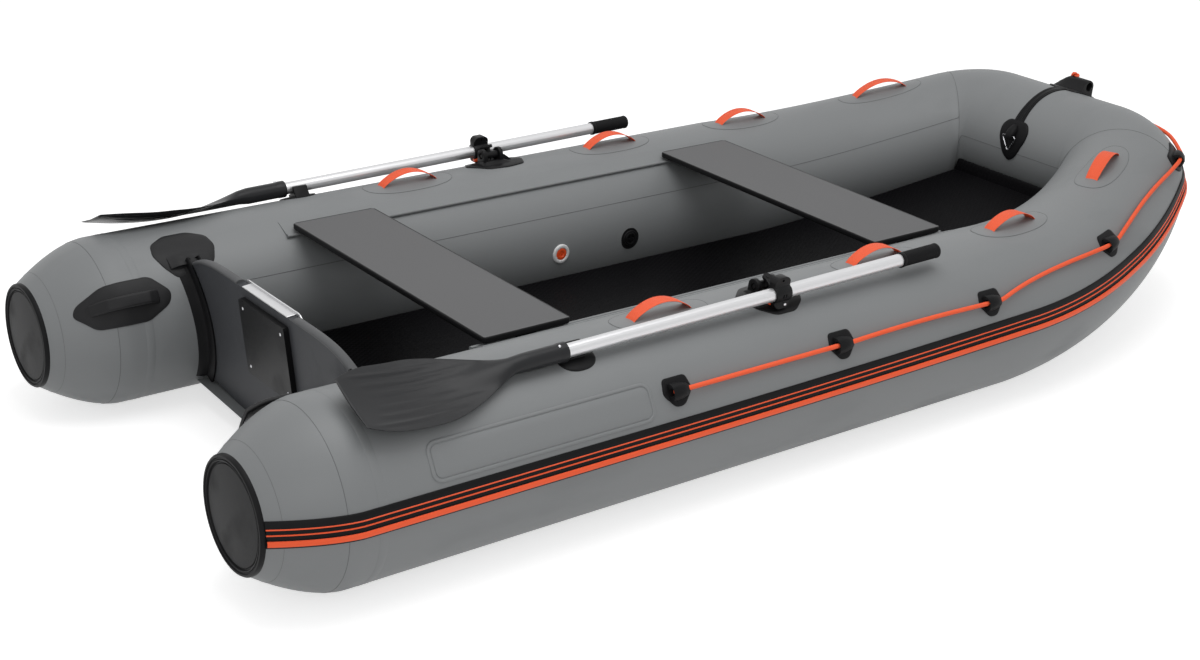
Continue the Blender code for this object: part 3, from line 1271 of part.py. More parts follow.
def add_valves():
    """Relief valve with its sprung centre, and the filling valve's cap in its welded boss."""
    tube = bpy.data.objects["side_tube_port"]
    relief = seat_frame(RELIEF_STATION, -math.pi / 2)
    neck = RELIEF_BORE + 0.0035
    cut(tube, bore("relief_hole", neck + SEAM_GAP, -0.02, 0.02, relief, "Z", 20))
    flat = 2 * SEAM_GAP
    turned("relief_valve", (
        (RELIEF_BORE, -VALVE_DEPTH), (neck, -VALVE_DEPTH), (neck, flat), (RELIEF_RADIUS, flat),
        (RELIEF_RADIUS, 0.6 * RELIEF_PROUD), (RELIEF_RADIUS - 0.002, RELIEF_PROUD),
        (RELIEF_BORE + 0.0015, RELIEF_PROUD), (RELIEF_BORE, 0.8 * RELIEF_PROUD)),
        "white_plastic", relief, 20)
    top = 0.9 * RELIEF_PROUD
    plunger = RELIEF_BORE - RUNNING_FIT
    turned("relief_plunger", (
        (0, -0.020), (0.005, -0.020), (0.005, -0.004), (plunger, -0.004), (plunger, top - 0.001),
        (plunger - 0.001, top), (0.010, top), (0.009, top - 0.001), (0, top - 0.001)),
        "orange_plastic", relief, 20)

    valve = seat_frame(AIR_VALVE_STATION, -math.pi / 2)
    cup = AIR_CAP_RADIUS + FIT
    boss = turned("air_valve_boss", (
        (cup, -VALVE_DEPTH), (cup + 0.003, -VALVE_DEPTH), (cup + 0.003, -0.0006),
        (AIR_VALVE_RADIUS, -0.0006), (AIR_VALVE_RADIUS, 0.002), (AIR_VALVE_RADIUS - 0.003, 0.004),
        (cup, 0.004)), None, valve, 20)
    cut(tube, rod("air_valve_hole", cup, -0.02, 0.02, valve, "Z", 20))
    join(tube, boss)
    cap = turned("air_valve_cap", (
        (0, -0.010), (AIR_CAP_RADIUS, -0.010), (AIR_CAP_RADIUS, 0.004),
        (AIR_CAP_RADIUS - 0.0015, 0.0055), (0.014, 0.0055), (0.013, 0.001), (0, 0.001)),
        "black_plastic", valve, 20)
    bar = prism("valve_cap_bar", rounded_outline(0.0275, 0.006, 0.001, 1), -0.002, 0.0045, None, valve)
    join(cap, bar)


def add_port_pieces():
    """Pieces that are glued to the port side and mirrored to starboard."""
    add_end_cap()
    add_transom_holder()
    add_seat_track()
    add_carry_handle()
    for number, run in enumerate(HANDLE_STATIONS, 1):
        mirrored(add_grab_handle(number, run))
    for name in ("stern_cone_port", "side_tube_port", "end_cap_port", "transom_holder_port",
                 "seat_track_port", "carry_handle_port"):
        mirrored(bpy.data.objects[name])


def build():
    for old in list(bpy.data.objects):
        bpy.data.objects.remove(old, do_unlink=True)
    add_hull_space()
    add_tubes()
    add_port_pieces()
    add_strake()
    add_floor()
    add_transom()
    add_seat("rear_seat", REAR_SEAT)
    add_seat("front_seat", FRONT_SEAT)
    add_lifeline_fittings()
    mirrored(bpy.data.objects["bow_side_port"])
    add_lifeline()
    add_bow_gear()
    add_oarlock()
    add_oar_clamp()
    add_oar()
    add_oar_rest()
    add_valves()


build()
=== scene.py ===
"""Inflatable boat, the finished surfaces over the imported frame.

Metres, in the frame's own axes: +X to the bow, +Y to port, +Z up. Each port piece is modelled in
its own place and the starboard one is its mirror image. The sizes at the top are the boat's own.
"""
import math

import bmesh
import bpy
from mathutils import Matrix, Vector


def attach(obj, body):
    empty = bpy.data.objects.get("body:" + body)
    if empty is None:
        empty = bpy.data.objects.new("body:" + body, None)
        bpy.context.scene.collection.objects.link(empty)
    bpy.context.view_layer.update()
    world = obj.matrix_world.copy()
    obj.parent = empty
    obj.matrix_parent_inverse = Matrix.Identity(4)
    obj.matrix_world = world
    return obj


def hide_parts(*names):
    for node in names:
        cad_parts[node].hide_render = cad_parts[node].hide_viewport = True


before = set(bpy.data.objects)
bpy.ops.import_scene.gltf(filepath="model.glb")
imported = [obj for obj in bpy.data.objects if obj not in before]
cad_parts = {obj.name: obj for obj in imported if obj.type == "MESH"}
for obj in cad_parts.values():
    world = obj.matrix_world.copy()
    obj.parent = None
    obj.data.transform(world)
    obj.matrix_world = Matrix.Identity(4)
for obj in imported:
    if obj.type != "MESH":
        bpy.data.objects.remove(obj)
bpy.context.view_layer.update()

# Hull
LENGTH = 3.50
BEAM = 1.65
TUBE_RADIUS = 0.228
BOW_RADIUS = 0.190
BOW_RISE = 0.172
BOW_BEND_RADIUS = 1.78
BOW_BEND_ANGLE = math.radians(28)
BOW_CORNER_RADIUS = 0.205
CONE_LENGTH = 0.25
CONE_TAPER = 0.20
CONE_EASE = 1.6
CAP_RADIUS = 0.137
CAP_CROWN = 0.020
STRAKE_HEIGHT = 0.064
STRAKE_PROUD = 0.009
STRAKE_ANGLE = math.radians(85)
STRAKE_BOW_ANGLE = math.radians(78)
STRAKE_CLIMB_START = 1.0
TUBE_SIDES = 112

# Floor and transom
DECK_TOP = 0.155
DECK_THICKNESS = 0.070
DECK_INSET = 0.2065
DECK_EDGE_ROUND = 0.028
DECK_STERN_CORNER = ((0.040, 0.030), (0.060, 0.010), (0.085, 0.0))
DECK_VALVE_FROM_BOW = 0.62
BOTTOM_START = 0.400
BOTTOM_EDGE_ANGLE = math.radians(135)
BOTTOM_EDGE_TURN = math.radians(25)
BOTTOM_EDGE_LIFT = 0.0015
BOTTOM_THICKNESS = 0.0016
KEEL_HEIGHT = 0.042
TRANSOM_STATION = 0.425
TRANSOM_RAKE = math.radians(6)
TRANSOM_TOP = 0.445
TRANSOM_THICKNESS = 0.024
TRIM_HEIGHT = 0.007125
TRIM_OVERHANG = 0.0012
TRIM_LEVEL_HALF = 0.150
TRIM_SHOULDER = (0.4324, 0.3985)
PAD_THICKNESS = 0.015
PAD_SCREWS = ((0.100, 0.398), (0.100, 0.235))
HOLDER_START = math.radians(40)
HOLDER_END = math.radians(128)
HOLDER_CAP_ANGLE = math.radians(30)

# Seats
SEAT_TOP = 0.445
SEAT_THICKNESS = 0.016
SEAT_LENGTH = 0.963
SEAT_WIDTH = 0.260
SEATS = {"rear_seat": 0.855, "front_seat": 2.148}
TRACK_START = 0.700
TRACK_END = 2.300
TRACK_ANGLE = math.radians(36)
TRACK_WIDTH = 0.060
WELT_RADIUS = 0.0045

# Fittings on the tubes
HANDLE_STATIONS = (1.167, 1.905, 2.440, 2.973)
HANDLE_SPAN = 0.180
HANDLE_HEIGHT = 0.036
HANDLE_WIDTH = 0.036
WEBBING = 0.002
PATCH_LENGTH = 0.290
PATCH_WIDTH = 0.115
FITTING_STATIONS = (1.075, 1.613, 2.162, 2.690, 3.235)
FITTING_ANGLES = tuple(math.radians(angle) for angle in (60, 60, 60, 52, 53))
FITTING_LENGTH = 0.088
FITTING_WIDTH = 0.074
FITTING_HEIGHT = 0.029
ROPE_RADIUS = 0.0060
ROPE_LIFT = 0.0140
ROPE_SLACK_LIFT = 0.0095
ROPE_CLIMB = tuple(math.radians(angle) for angle in (0, 1, 6, 8, 0))
ROPE_STRAIGHT = 0.032
ROPE_TAIL = 0.017
ROPE_STEP = 0.060
CARRY_STATION = 0.195
CARRY_ANGLE = math.radians(59)
CARRY_LENGTH = 0.262
CARRY_WIDTH = 0.118
CARRY_GRIP_SPAN = 0.190
CARRY_GRIP_HEIGHT = 0.040
CARRY_GRIP_WIDTH = 0.030
BOW_FITTING_ANGLE = math.radians(27)
BOW_BORE_HEIGHT = 0.031
BOW_BORE_RADIUS = 0.0125
BOW_BORE_WALL = 0.009
STRAP_WIDTH = 0.036
SHIELD_ANGLE = math.radians(76)
RING_WIRE = 0.0028
RING_EYE_HEIGHT = 0.020
PLATE_START = 0.375
PLATE_END = 1.000
PLATE_ANGLE = math.radians(61.5)
PLATE_WIDTH = 0.098

# Oars and oarlocks
OARLOCK_STATION = 1.479
OARLOCK_ANGLE = math.radians(7.5)
BARREL_LIFT = 0.0272
PIN_TILT = math.radians(30)
SHAFT_OFFSET = 0.062
SHAFT_DROP = 0.0035
SHAFT_RADIUS = 0.0175
SHAFT_SLOPE = math.radians(0.8)
SHAFT_AFT = 0.667
SHAFT_FORE = 0.421
GRIP_LENGTH = 0.138
GRIP_RADIUS = 0.0195
GRIP_RIBS = 26
GRIP_RIB_PITCH = 0.0042
SOCKET_RADIUS = 0.0230
BLADE_LENGTH = 0.577
BLADE_NECK = 0.26
BLADE_HALF_WIDTH = 0.103
BLADE_TIP_HALF_WIDTH = 0.075
BLADE_EDGE = 0.0050
BLADE_SIDES = 96
BLADE_TILT = math.radians(24)
BLADE_DIP = 0.016
BLADE_CURL = 0.033
BUTTON_BACK = 0.022
HORN_RADIUS = 0.0205
HORN_THICKNESS = 0.012
BARREL_RADIUS = 0.0115
BARREL_LENGTH = 0.042
CLAMP_RADIUS = 0.0225
CLAMP_LENGTH = 0.051
CLAMP_EAR = 0.028
CLAMP_UP = 0.046
CLAMP_DOWN = 0.038
REST_STATION = 0.850

# Valves on the port tube's inner side
RELIEF_STATION = 1.564
AIR_VALVE_STATION = 1.824

# Lengths that follow from the sizes above, forward of the cap rims' plane
TUBE_AXIS_Y = BEAM / 2 - TUBE_RADIUS
RIM_X = CAP_CROWN - LENGTH / 2
FRONT_AXIS = LENGTH - CAP_CROWN - STRAKE_PROUD - BOW_RADIUS
BEND_RUN = BOW_BEND_RADIUS * BOW_BEND_ANGLE
CORNER_RUN = BOW_CORNER_RADIUS * (math.pi / 2 - BOW_BEND_ANGLE)
STRAIGHT = (FRONT_AXIS - BOW_BEND_RADIUS * math.sin(BOW_BEND_ANGLE)
            - BOW_CORNER_RADIUS * (1 - math.sin(BOW_BEND_ANGLE)))
FRONT_HALF = (TUBE_AXIS_Y - BOW_BEND_RADIUS * (1 - math.cos(BOW_BEND_ANGLE))
              - BOW_CORNER_RADIUS * math.cos(BOW_BEND_ANGLE))
CORNER_START = STRAIGHT + BEND_RUN
CORNER_END = CORNER_START + CORNER_RUN
HALF_RUN = CORNER_END + FRONT_HALF

# Seams of the tubes' cloth
SEAM_ANGLE = math.radians(-60.5)
SEAM_START = 0.44
BOW_SEAM = CORNER_START + 0.02
LOW_SEAM_ANGLE = math.radians(-88)
CONE_SEAMS = ((0.036, 0.0004), (0.162, 0.0006))
TAPE_STATION = 0.246
TAPE_WIDTH = 0.022
TAPE_LIFT = 0.0004

# Where the blade's socket ends, along the shaft from the oarlock
SOCKET_MOUTH = -SHAFT_AFT

# The oarlock's horns, measured from the barrel's middle
HORN_INNER = BARREL_LENGTH / 2 + 0.001
HORN_OUTER = BARREL_LENGTH / 2 + HORN_THICKNESS + 0.001
BODY_TOP = BARREL_RADIUS + 0.004
BODY_FOOT = -BARREL_LIFT - 0.003
CLAMP_ARM_LOW = HORN_RADIUS + 0.0012
CLAMP_ARM_HIGH = CLAMP_ARM_LOW + 0.008

# The photograph's camera: yaw, pitch and roll in degrees, lens and sensor in millimetres
CAMERA_PLACE = (-3.395, -4.0789, 2.2711)
CAMERA_ANGLES = (52.715, -22.586, 2.12)
CAMERA_LENS = 58.573
CAMERA_SENSOR = 36

# Studio
WORLD_LEVEL = 0.52
FLOOR_GLOW = 0.62
FLOOR_RADIUS = 60
FLOOR_LEVEL = -0.0005

UP = Vector((0, 0, 1))
MIRROR = Matrix.Diagonal((1, -1, 1, 1))


# Camera, lights and floor

def add_camera():
    """The photograph's own viewpoint."""
    yaw, pitch, roll = (math.radians(angle) for angle in CAMERA_ANGLES)
    ahead = Vector((math.cos(pitch) * math.cos(yaw), math.cos(pitch) * math.sin(yaw),
                    math.sin(pitch)))
    level = ahead.cross(UP).normalized()
    rise = level.cross(ahead)
    across = math.cos(roll) * level + math.sin(roll) * rise
    upright = -math.sin(roll) * level + math.cos(roll) * rise
    camera = bpy.data.objects.new("camera", bpy.data.cameras.new("camera"))
    bpy.context.collection.objects.link(camera)
    camera.matrix_world = Matrix((across, upright, -ahead)).transposed().to_4x4()
    camera.location = CAMERA_PLACE
    camera.data.lens = CAMERA_LENS
    camera.data.sensor_width = CAMERA_SENSOR
    bpy.context.scene.camera = camera


def lamp(name, place, aim, size, power):
    """A round soft lamp that shines from one place at another."""
    light = bpy.data.lights.new(name, "AREA")
    light.shape = "DISK"
    light.size = size
    light.energy = power
    made = bpy.data.objects.new(name, light)
    bpy.context.collection.objects.link(made)
    made.location = place
    made.rotation_mode = "QUATERNION"
    made.rotation_quaternion = (Vector(aim) - Vector(place)).to_track_quat("-Z", "Y")


def seen_directly(graph):
    """A mask of 1 for the camera, mirror and glass rays that see the white backdrop."""
    path = graph.node("ShaderNodeLightPath")
    mirrored_ray = graph.math("MAXIMUM", path.outputs["Is Camera Ray"],
                              path.outputs["Is Glossy Ray"])
    return graph.math("MAXIMUM", mirrored_ray, path.outputs["Is Transmission Ray"])


def add_studio():
    """Soft white room, a broad lamp overhead and a floor that keeps the boat's shadow."""
    world = bpy.data.worlds.new("studio")
    bpy.context.scene.world = world
    world.use_nodes = True
    graph = Graph(world.node_tree)
    background = world.node_tree.nodes["Background"]
    background.inputs["Color"].default_value = (1, 1, 1, 1)
    strength = graph.math("MULTIPLY_ADD", seen_directly(graph), 1 - WORLD_LEVEL, WORLD_LEVEL)
    graph.join(strength, background.inputs["Strength"])
    aim = (0, 0, 0.2)
    lamp("overhead", (-0.4, -0.6, 4.2), aim, size=3.4, power=78)
    lamp("front_fill", (-3.6, -4.6, 2.6), aim, size=2.6, power=34)

    bm = bmesh.new()
    bmesh.ops.create_circle(bm, cap_ends=True, segments=64, radius=FLOOR_RADIUS)
    mesh = bpy.data.meshes.new("studio_floor")
    bm.to_mesh(mesh)
    bm.free()
    floor = bpy.data.objects.new("studio_floor", mesh)
    bpy.context.collection.objects.link(floor)
    floor.location.z = FLOOR_LEVEL
    material, graph, shader = new_material("studio_floor")
    shader.inputs["Base Color"].default_value = (0.80, 0.80, 0.80, 1)
    shader.inputs["Roughness"].default_value = 1.0
    shader.inputs["Specular IOR Level"].default_value = 0.0
    shader.inputs["Emission Color"].default_value = (1, 1, 1, 1)
    graph.join(graph.math("MULTIPLY", seen_directly(graph), FLOOR_GLOW),
               shader.inputs["Emission Strength"])
    mesh.materials.append(material)


# Materials

class Graph:
    """Adds nodes to one tree and joins them."""

    def __init__(self, tree):
        self.tree = tree

    def join(self, source, target):
        self.tree.links.new(source, target)

    def fill(self, socket, value):
        if isinstance(value, bpy.types.NodeSocket):
            self.join(value, socket)
        else:
            socket.default_value = value

    def node(self, kind, inputs=None, **settings):
        made = self.tree.nodes.new(kind)
        for key, value in settings.items():
            setattr(made, key, value)
        for key, value in (inputs or {}).items():
            self.fill(made.inputs[key], value)
        return made

    def math(self, operation, *values):
        made = self.node("ShaderNodeMath", operation=operation)
        for socket, value in zip(made.inputs, values):
            self.fill(socket, value)
        return made.outputs[0]

    def place(self):
        """Object coordinates and their separate x, y and z."""
        vector = self.node("ShaderNodeTexCoord").outputs["Object"]
        parts = self.node("ShaderNodeSeparateXYZ", {0: vector}).outputs
        return vector, parts[0], parts[1], parts[2]

    def noise(self, vector, scale, detail=2.0):
        found = self.node("ShaderNodeTexNoise", {"Vector": vector, "Scale": scale,
                                                 "Detail": detail})
        return found.outputs["Fac"]


def new_material(name):
    """A material, its graph and its shader."""
    material = bpy.data.materials.new(name)
    material.use_nodes = True
    return material, Graph(material.node_tree), material.node_tree.nodes["Principled BSDF"]


def new_group(name, inputs, outputs):
    """A shader node group; returns its graph, its inputs and its output node."""
    tree = bpy.data.node_groups.new(name, "ShaderNodeTree")
    for label, kind, value in inputs:
        made = tree.interface.new_socket(label, in_out="INPUT", socket_type=kind)
        made.default_value = value
    for label, kind in outputs:
        tree.interface.new_socket(label, in_out="OUTPUT", socket_type=kind)
    graph = Graph(tree)
    return graph, graph.node("NodeGroupInput").outputs, graph.node("NodeGroupOutput").inputs


NUMBER, COLOUR = "NodeSocketFloat", "NodeSocketColor"


def build_tone_drift():
    """Broad, faint drift of a colour, as cloth and moulded parts have."""
    graph, given, out = new_group("tone_drift", (
        ("Color", COLOUR, (0.5, 0.5, 0.5, 1)), ("Amount", NUMBER, 0.1), ("Scale", NUMBER, 3.0)),
        (("Color", COLOUR),))
    vector = graph.place()[0]
    cloud = graph.noise(vector, given["Scale"], 4.0)
    centred = graph.math("SUBTRACT", cloud, 0.5)
    factor = graph.math("MULTIPLY_ADD", centred, given["Amount"], 1.0)
    scaled = graph.node("ShaderNodeVectorMath", {0: given["Color"]}, operation="SCALE")
    graph.join(factor, scaled.inputs["Scale"])
    graph.join(scaled.outputs[0], out["Color"])


def build_scuffs():
    """Sparse, long rubbed marks."""
    graph, given, out = new_group("scuffs", (
        ("Scale", NUMBER, 9.0), ("Amount", NUMBER, 0.5)), (("Mask", NUMBER),))
    vector = graph.place()[0]
    stretched = graph.node("ShaderNodeMapping", {"Vector": vector, "Scale": (0.35, 1.0, 1.0)})
    marks = graph.noise(stretched.outputs[0], given["Scale"], 8.0)
    raised = graph.node("ShaderNodeMapRange", {"Value": marks, "From Min": 0.52, "From Max": 0.75})
    graph.join(graph.math("MULTIPLY", raised.outputs[0], given["Amount"]), out["Mask"])


def build_fine_grain():
    """Pebbled grain of moulded rubber, plastic and coated cloth."""
    graph, given, out = new_group("fine_grain", (("Scale", NUMBER, 900.0),),
                                  (("Height", NUMBER),))
    vector = graph.place()[0]
    cells = graph.node("ShaderNodeTexVoronoi", {"Vector": vector, "Scale": given["Scale"]})
    fine = graph.noise(vector, graph.math("MULTIPLY", given["Scale"], 0.4), 3.0)
    graph.join(graph.math("MULTIPLY_ADD", fine, 0.6,
                          graph.math("MULTIPLY", cells.outputs["Distance"], 0.4)), out["Height"])


def build_crossed_threads():
    """Over and under of warp and weft in the plane of two of the axes."""
    graph, given, out = new_group("crossed_threads", (
        ("Along", NUMBER, 0.0), ("Across", NUMBER, 0.0), ("Pitch", NUMBER, 0.002)),
        (("Height", NUMBER),))
    turns = [graph.math("MULTIPLY", graph.math("DIVIDE", given[label], given["Pitch"]), math.pi)
             for label in ("Along", "Across")]
    warp = graph.math("ABSOLUTE", graph.math("SINE", turns[0]))
    weft = graph.math("ABSOLUTE", graph.math("SINE", turns[1]))
    swap = graph.math("SINE", graph.math("ADD", turns[0], turns[1]))
    graph.join(graph.math("MULTIPLY_ADD", swap, 0.3, graph.math("MULTIPLY", warp, weft)),
               out["Height"])


def group(graph, name, inputs=None):
    """Place a node group in a graph; returns its first output."""
    made = graph.node("ShaderNodeGroup", node_tree=bpy.data.node_groups[name])
    for key, value in (inputs or {}).items():
        graph.fill(made.inputs[key], value)
    return made.outputs[0]


def threads_pattern(pitch):
    """Weave of a coated cloth or webbing that lies along X."""
    def weave(graph):
        x, y = graph.place()[1:3]
        return group(graph, "crossed_threads", {"Along": x, "Across": y, "Pitch": pitch})
    return weave


def scales_pattern(pitch):
    """Rows of overlapping scales, each row set over by half a scale."""
    def scales(graph):
        x, y = graph.place()[1:3]
        row = graph.math("DIVIDE", x, pitch)
        step = graph.math("FLOOR", row)
        shift = graph.math("MULTIPLY", graph.math("MODULO", step, 2.0), 0.5)
        column = graph.math("ADD", graph.math("DIVIDE", y, pitch * 1.2), shift)
        side = graph.math("SUBTRACT", graph.math("FRACT", column), 0.5)
        rise = graph.math("FRACT", row)
        round_edge = graph.math("MULTIPLY", graph.math("MULTIPLY", side, side), 2.6)
        return graph.math("FRACT", graph.math("ADD", rise, round_edge))
    return scales


def brushed_pattern(graph):
    """Faint drawn lines along X."""
    vector = graph.place()[0]
    drawn = graph.node("ShaderNodeMapping", {"Vector": vector, "Scale": (3.0, 900.0, 900.0)})
    return graph.noise(drawn.outputs[0], 1.0, 2.0)


def surface(name, colour, roughness, metallic=0.0, drift=0.10, drift_scale=3.0, scuff=0.15,
            grain=900.0, relief=0.0002, pattern=None, pattern_relief=0.0004, pattern_painted_shading=0.0,
            specular=0.5):
    """A finish: drifting colour, rubbed gloss, grain, and a pattern such as a weave; the pattern
    can also paint highlight and shade into the colour.
    """
    material, graph, shader = new_material(name)
    material.diffuse_color = (*colour, 1)
    tone = group(graph, "tone_drift", {"Color": (*colour, 1), "Amount": drift,
                                       "Scale": drift_scale})
    marks = group(graph, "scuffs", {"Amount": scuff})
    height = graph.math("MULTIPLY", group(graph, "fine_grain", {"Scale": grain}), relief)
    if pattern:
        figure = pattern(graph)
        height = graph.math("MULTIPLY_ADD", figure, pattern_relief, height)
        # Painted light: the pattern's figure scales the colour, lighter on its raised parts as a
        # painted highlight and darker in its hollows as painted shade.
        if pattern_painted_shading:
            painted_shading = graph.math("MULTIPLY_ADD", figure, pattern_painted_shading, 1 - pattern_painted_shading / 2)
            scaled = graph.node("ShaderNodeVectorMath", {0: tone}, operation="SCALE")
            graph.join(painted_shading, scaled.inputs["Scale"])
            tone = scaled.outputs[0]
    graph.join(tone, shader.inputs["Base Color"])
    graph.join(graph.math("ADD", marks, roughness), shader.inputs["Roughness"])
    shader.inputs["Metallic"].default_value = metallic
    shader.inputs["Specular IOR Level"].default_value = specular
    bump = graph.node("ShaderNodeBump", {"Height": height, "Distance": 1.0, "Strength": 1.0})
    graph.join(bump.outputs[0], shader.inputs["Normal"])
    return material


FINISHES = {}


def build_finishes():
    """Every finish of the boat."""
    for build in (build_tone_drift, build_scuffs, build_fine_grain, build_crossed_threads):
        build()
    orange = (0.95, 0.115, 0.034)
    made = (
        ("hull_fabric", surface("coated_hull_cloth", (0.200, 0.208, 0.212), 0.50, drift=0.07,
                                drift_scale=1.6, relief=0.00012, pattern=threads_pattern(0.0016),
                                pattern_relief=0.00004)),
        ("transom_trim", surface("board_edge_trim", (0.085, 0.087, 0.09), 0.5, specular=0.3)),
        ("seam_bead", surface("seam_adhesive", (0.094, 0.097, 0.101), 0.55, relief=0.0001)),
        ("black_rubber", surface("moulded_rubber", (0.0085, 0.0085, 0.0092), 0.46, drift=0.2,
                                 drift_scale=14.0, grain=700.0, relief=0.0003, specular=0.09)),
        ("soft_rubber", surface("soft_rubber", (0.017, 0.017, 0.018), 0.42, drift=0.25,
                                drift_scale=20.0, grain=600.0, relief=0.0004, specular=0.16)),
        ("strake_rubber", surface("strake_black", (0.006, 0.006, 0.0065), 0.42, drift=0.15,
                                  specular=0.10)),
        ("strake_line", surface("strake_orange", orange, 0.45, drift=0.05, specular=0.3)),
        # Deck: painted highlight and shade across each scale, from the scales' figure scaling the
        # colour.
        ("deck_fabric", surface("deck_scales", (0.0030, 0.0028, 0.0034), 0.45, drift=0.3,
                                pattern=scales_pattern(0.013), pattern_relief=0.0009,
                                pattern_painted_shading=0.5, specular=0.06)),
        ("black_plastic", surface("moulded_plastic", (0.008, 0.008, 0.0086), 0.36, drift=0.15,
                                  drift_scale=10.0, grain=1200.0, relief=0.00015,
                                  specular=0.13)),
        ("blade_plastic", surface("blade_plastic", (0.016, 0.0165, 0.018), 0.30, drift=0.18,
                                  drift_scale=9.0, grain=1000.0, relief=0.0002, specular=0.2)),
        ("transom_board", surface("painted_board", (0.046, 0.048, 0.053), 0.55, drift=0.12,
                                  drift_scale=5.0, grain=400.0, relief=0.0003, specular=0.25)),
        ("seat_board", surface("seat_facing", (0.098, 0.0985, 0.101), 0.55, drift=0.04,
                               scuff=0.0, grain=500.0, relief=0.0003, specular=0.3)),
        ("seat_edge", surface("seat_edge_rubber", (0.006, 0.006, 0.0065), 0.45, specular=0.12)),
        ("aluminium", surface("satin_aluminium", (0.66, 0.66, 0.67), 0.36, 0.75, drift=0.04,
                              scuff=0.1, relief=0.00002, pattern=brushed_pattern,
                              pattern_relief=0.00004)),
        # Webbing: painted shade between the threads and painted highlight on them, from the
        # weave's figure scaling the colour.
        ("webbing", surface("orange_webbing", orange, 0.62, drift=0.08, grain=1500.0,
                            pattern=threads_pattern(0.0024), pattern_relief=0.0005,
                            pattern_painted_shading=0.25)),
        ("rope", surface("orange_braid", orange, 0.65, drift=0.10, grain=2500.0,
                         relief=0.0004)),
        ("white_plastic", surface("valve_white", (0.72, 0.72, 0.72), 0.30, drift=0.03)),
        ("orange_plastic", surface("valve_orange", (0.80, 0.085, 0.018), 0.35, drift=0.05)),
        ("ring_steel", surface("ring_wire", (0.55, 0.55, 0.57), 0.22, 1.0, drift=0.05,
                               scuff=0.08, relief=0.00002)),
    )
    FINISHES.update(made)


# The tubes' form

def centreline(run):
    """Place and heading of the port tube's centreline, at a run along it from the cap's rim."""
    if run <= STRAIGHT:
        x, y, heading = run, TUBE_AXIS_Y, 0.0
    elif run <= CORNER_START:
        heading = (run - STRAIGHT) / BOW_BEND_RADIUS
        x = STRAIGHT + BOW_BEND_RADIUS * math.sin(heading)
        y = TUBE_AXIS_Y - BOW_BEND_RADIUS * (1 - math.cos(heading))
    elif run <= CORNER_END:
        heading = BOW_BEND_ANGLE + (run - CORNER_START) / BOW_CORNER_RADIUS
        x = FRONT_AXIS - BOW_CORNER_RADIUS * (1 - math.sin(heading))
        y = FRONT_HALF + BOW_CORNER_RADIUS * math.cos(heading)
    else:
        x, y, heading = FRONT_AXIS, HALF_RUN - run, math.pi / 2
    rise = BOW_RISE * (max(0.0, x - STRAIGHT) / (FRONT_AXIS - STRAIGHT)) ** 2
    return Vector((RIM_X + x, y, TUBE_RADIUS + rise)), heading


def clamped(value):
    """A value kept between 0 and 1."""
    return min(max(value, 0.0), 1.0)


def tube_radius(run):
    """The cone's curve out from the cap, then a slow taper into the bow."""
    if run < CONE_TAPER:
        taper = 1 - (1 - max(run, 0.0) / CONE_TAPER) ** CONE_EASE
        return CAP_RADIUS + (TUBE_RADIUS - CAP_RADIUS) * taper
    share = clamped((run - STRAIGHT) / (CORNER_END - STRAIGHT))
    return TUBE_RADIUS + (BOW_RADIUS - TUBE_RADIUS) * share


def hull_point(run, angle, lift=0.0):
    """A point on the port tube: angle from the top, positive outboard; lift off the surface."""
    centre, heading = centreline(run)
    outboard = Vector((math.sin(heading), math.cos(heading), 0.0))
    reach = tube_radius(run) + lift
    return centre + reach * (math.sin(angle) * outboard + math.cos(angle) * UP)


def seat_frame(run, angle):
    """Frame on the tube's surface: X along the tube, Y outboard round it, Z off the surface."""
    step = 0.001
    along = hull_point(run + step, angle) - hull_point(run - step, angle)
    around = hull_point(run, angle + step) - hull_point(run, angle - step)
    normal = along.cross(around).normalized()
    along.normalize()
    place = Matrix((along, normal.cross(along), normal)).transposed().to_4x4()
    place.translation = hull_point(run, angle)
    return place


def spaced(start, end, count):
    """Both ends and the even divisions between them."""
    return [start + (end - start) * step / count for step in range(count + 1)]


def full_turn(count):
    """Angles evenly round a circle."""
    return spaced(0, 2 * math.pi, count)[:-1]


def blunt(value, power):
    """A sine or cosine raised to a power with its sign kept, for squarish ovals."""
    return math.copysign(abs(value) ** power, value)


# Mesh building blocks

def skin(bm, rings, finishes=None):
    """Quads through rings of equal count; finishes gives a material number for each side."""
    loops = [[bm.verts.new(point) for point in ring] for ring in rings]
    count = len(loops[0])
    for low, high in zip(loops, loops[1:]):
        for side in range(count):
            after = (side + 1) % count
            face = bm.faces.new((low[side], low[after], high[after], high[side]))
            if finishes:
                face.material_index = finishes[side]
    return loops


def capped_skin(bm, rings):
    """A closed form through rings, its ends flat."""
    loops = skin(bm, rings)
    for loop in (loops[0], loops[-1]):
        bm.faces.new(loop)
    return bm


def fan(bm, loop, centre):
    """Triangles from a loop to one middle point."""
    hub = bm.verts.new(centre)
    for index, vertex in enumerate(loop):
        bm.faces.new((vertex, loop[(index + 1) % len(loop)], hub))


def closed_skin(rings, finishes=None):
    """A closed form through rings, its ends fanned."""
    bm = bmesh.new()
    loops = skin(bm, rings, finishes=finishes)
    for loop in (loops[0], loops[-1]):
        fan(bm, loop, sum((vertex.co for vertex in loop), Vector()) / len(loop))
    return bm


def axis_point(axis, across, up, along):
    """A point given by its place along one axis and its place across it."""
    if axis == "X":
        return Vector((along, across, up))
    if axis == "Y":
        return Vector((across, along, up))
    return Vector((across, up, along))


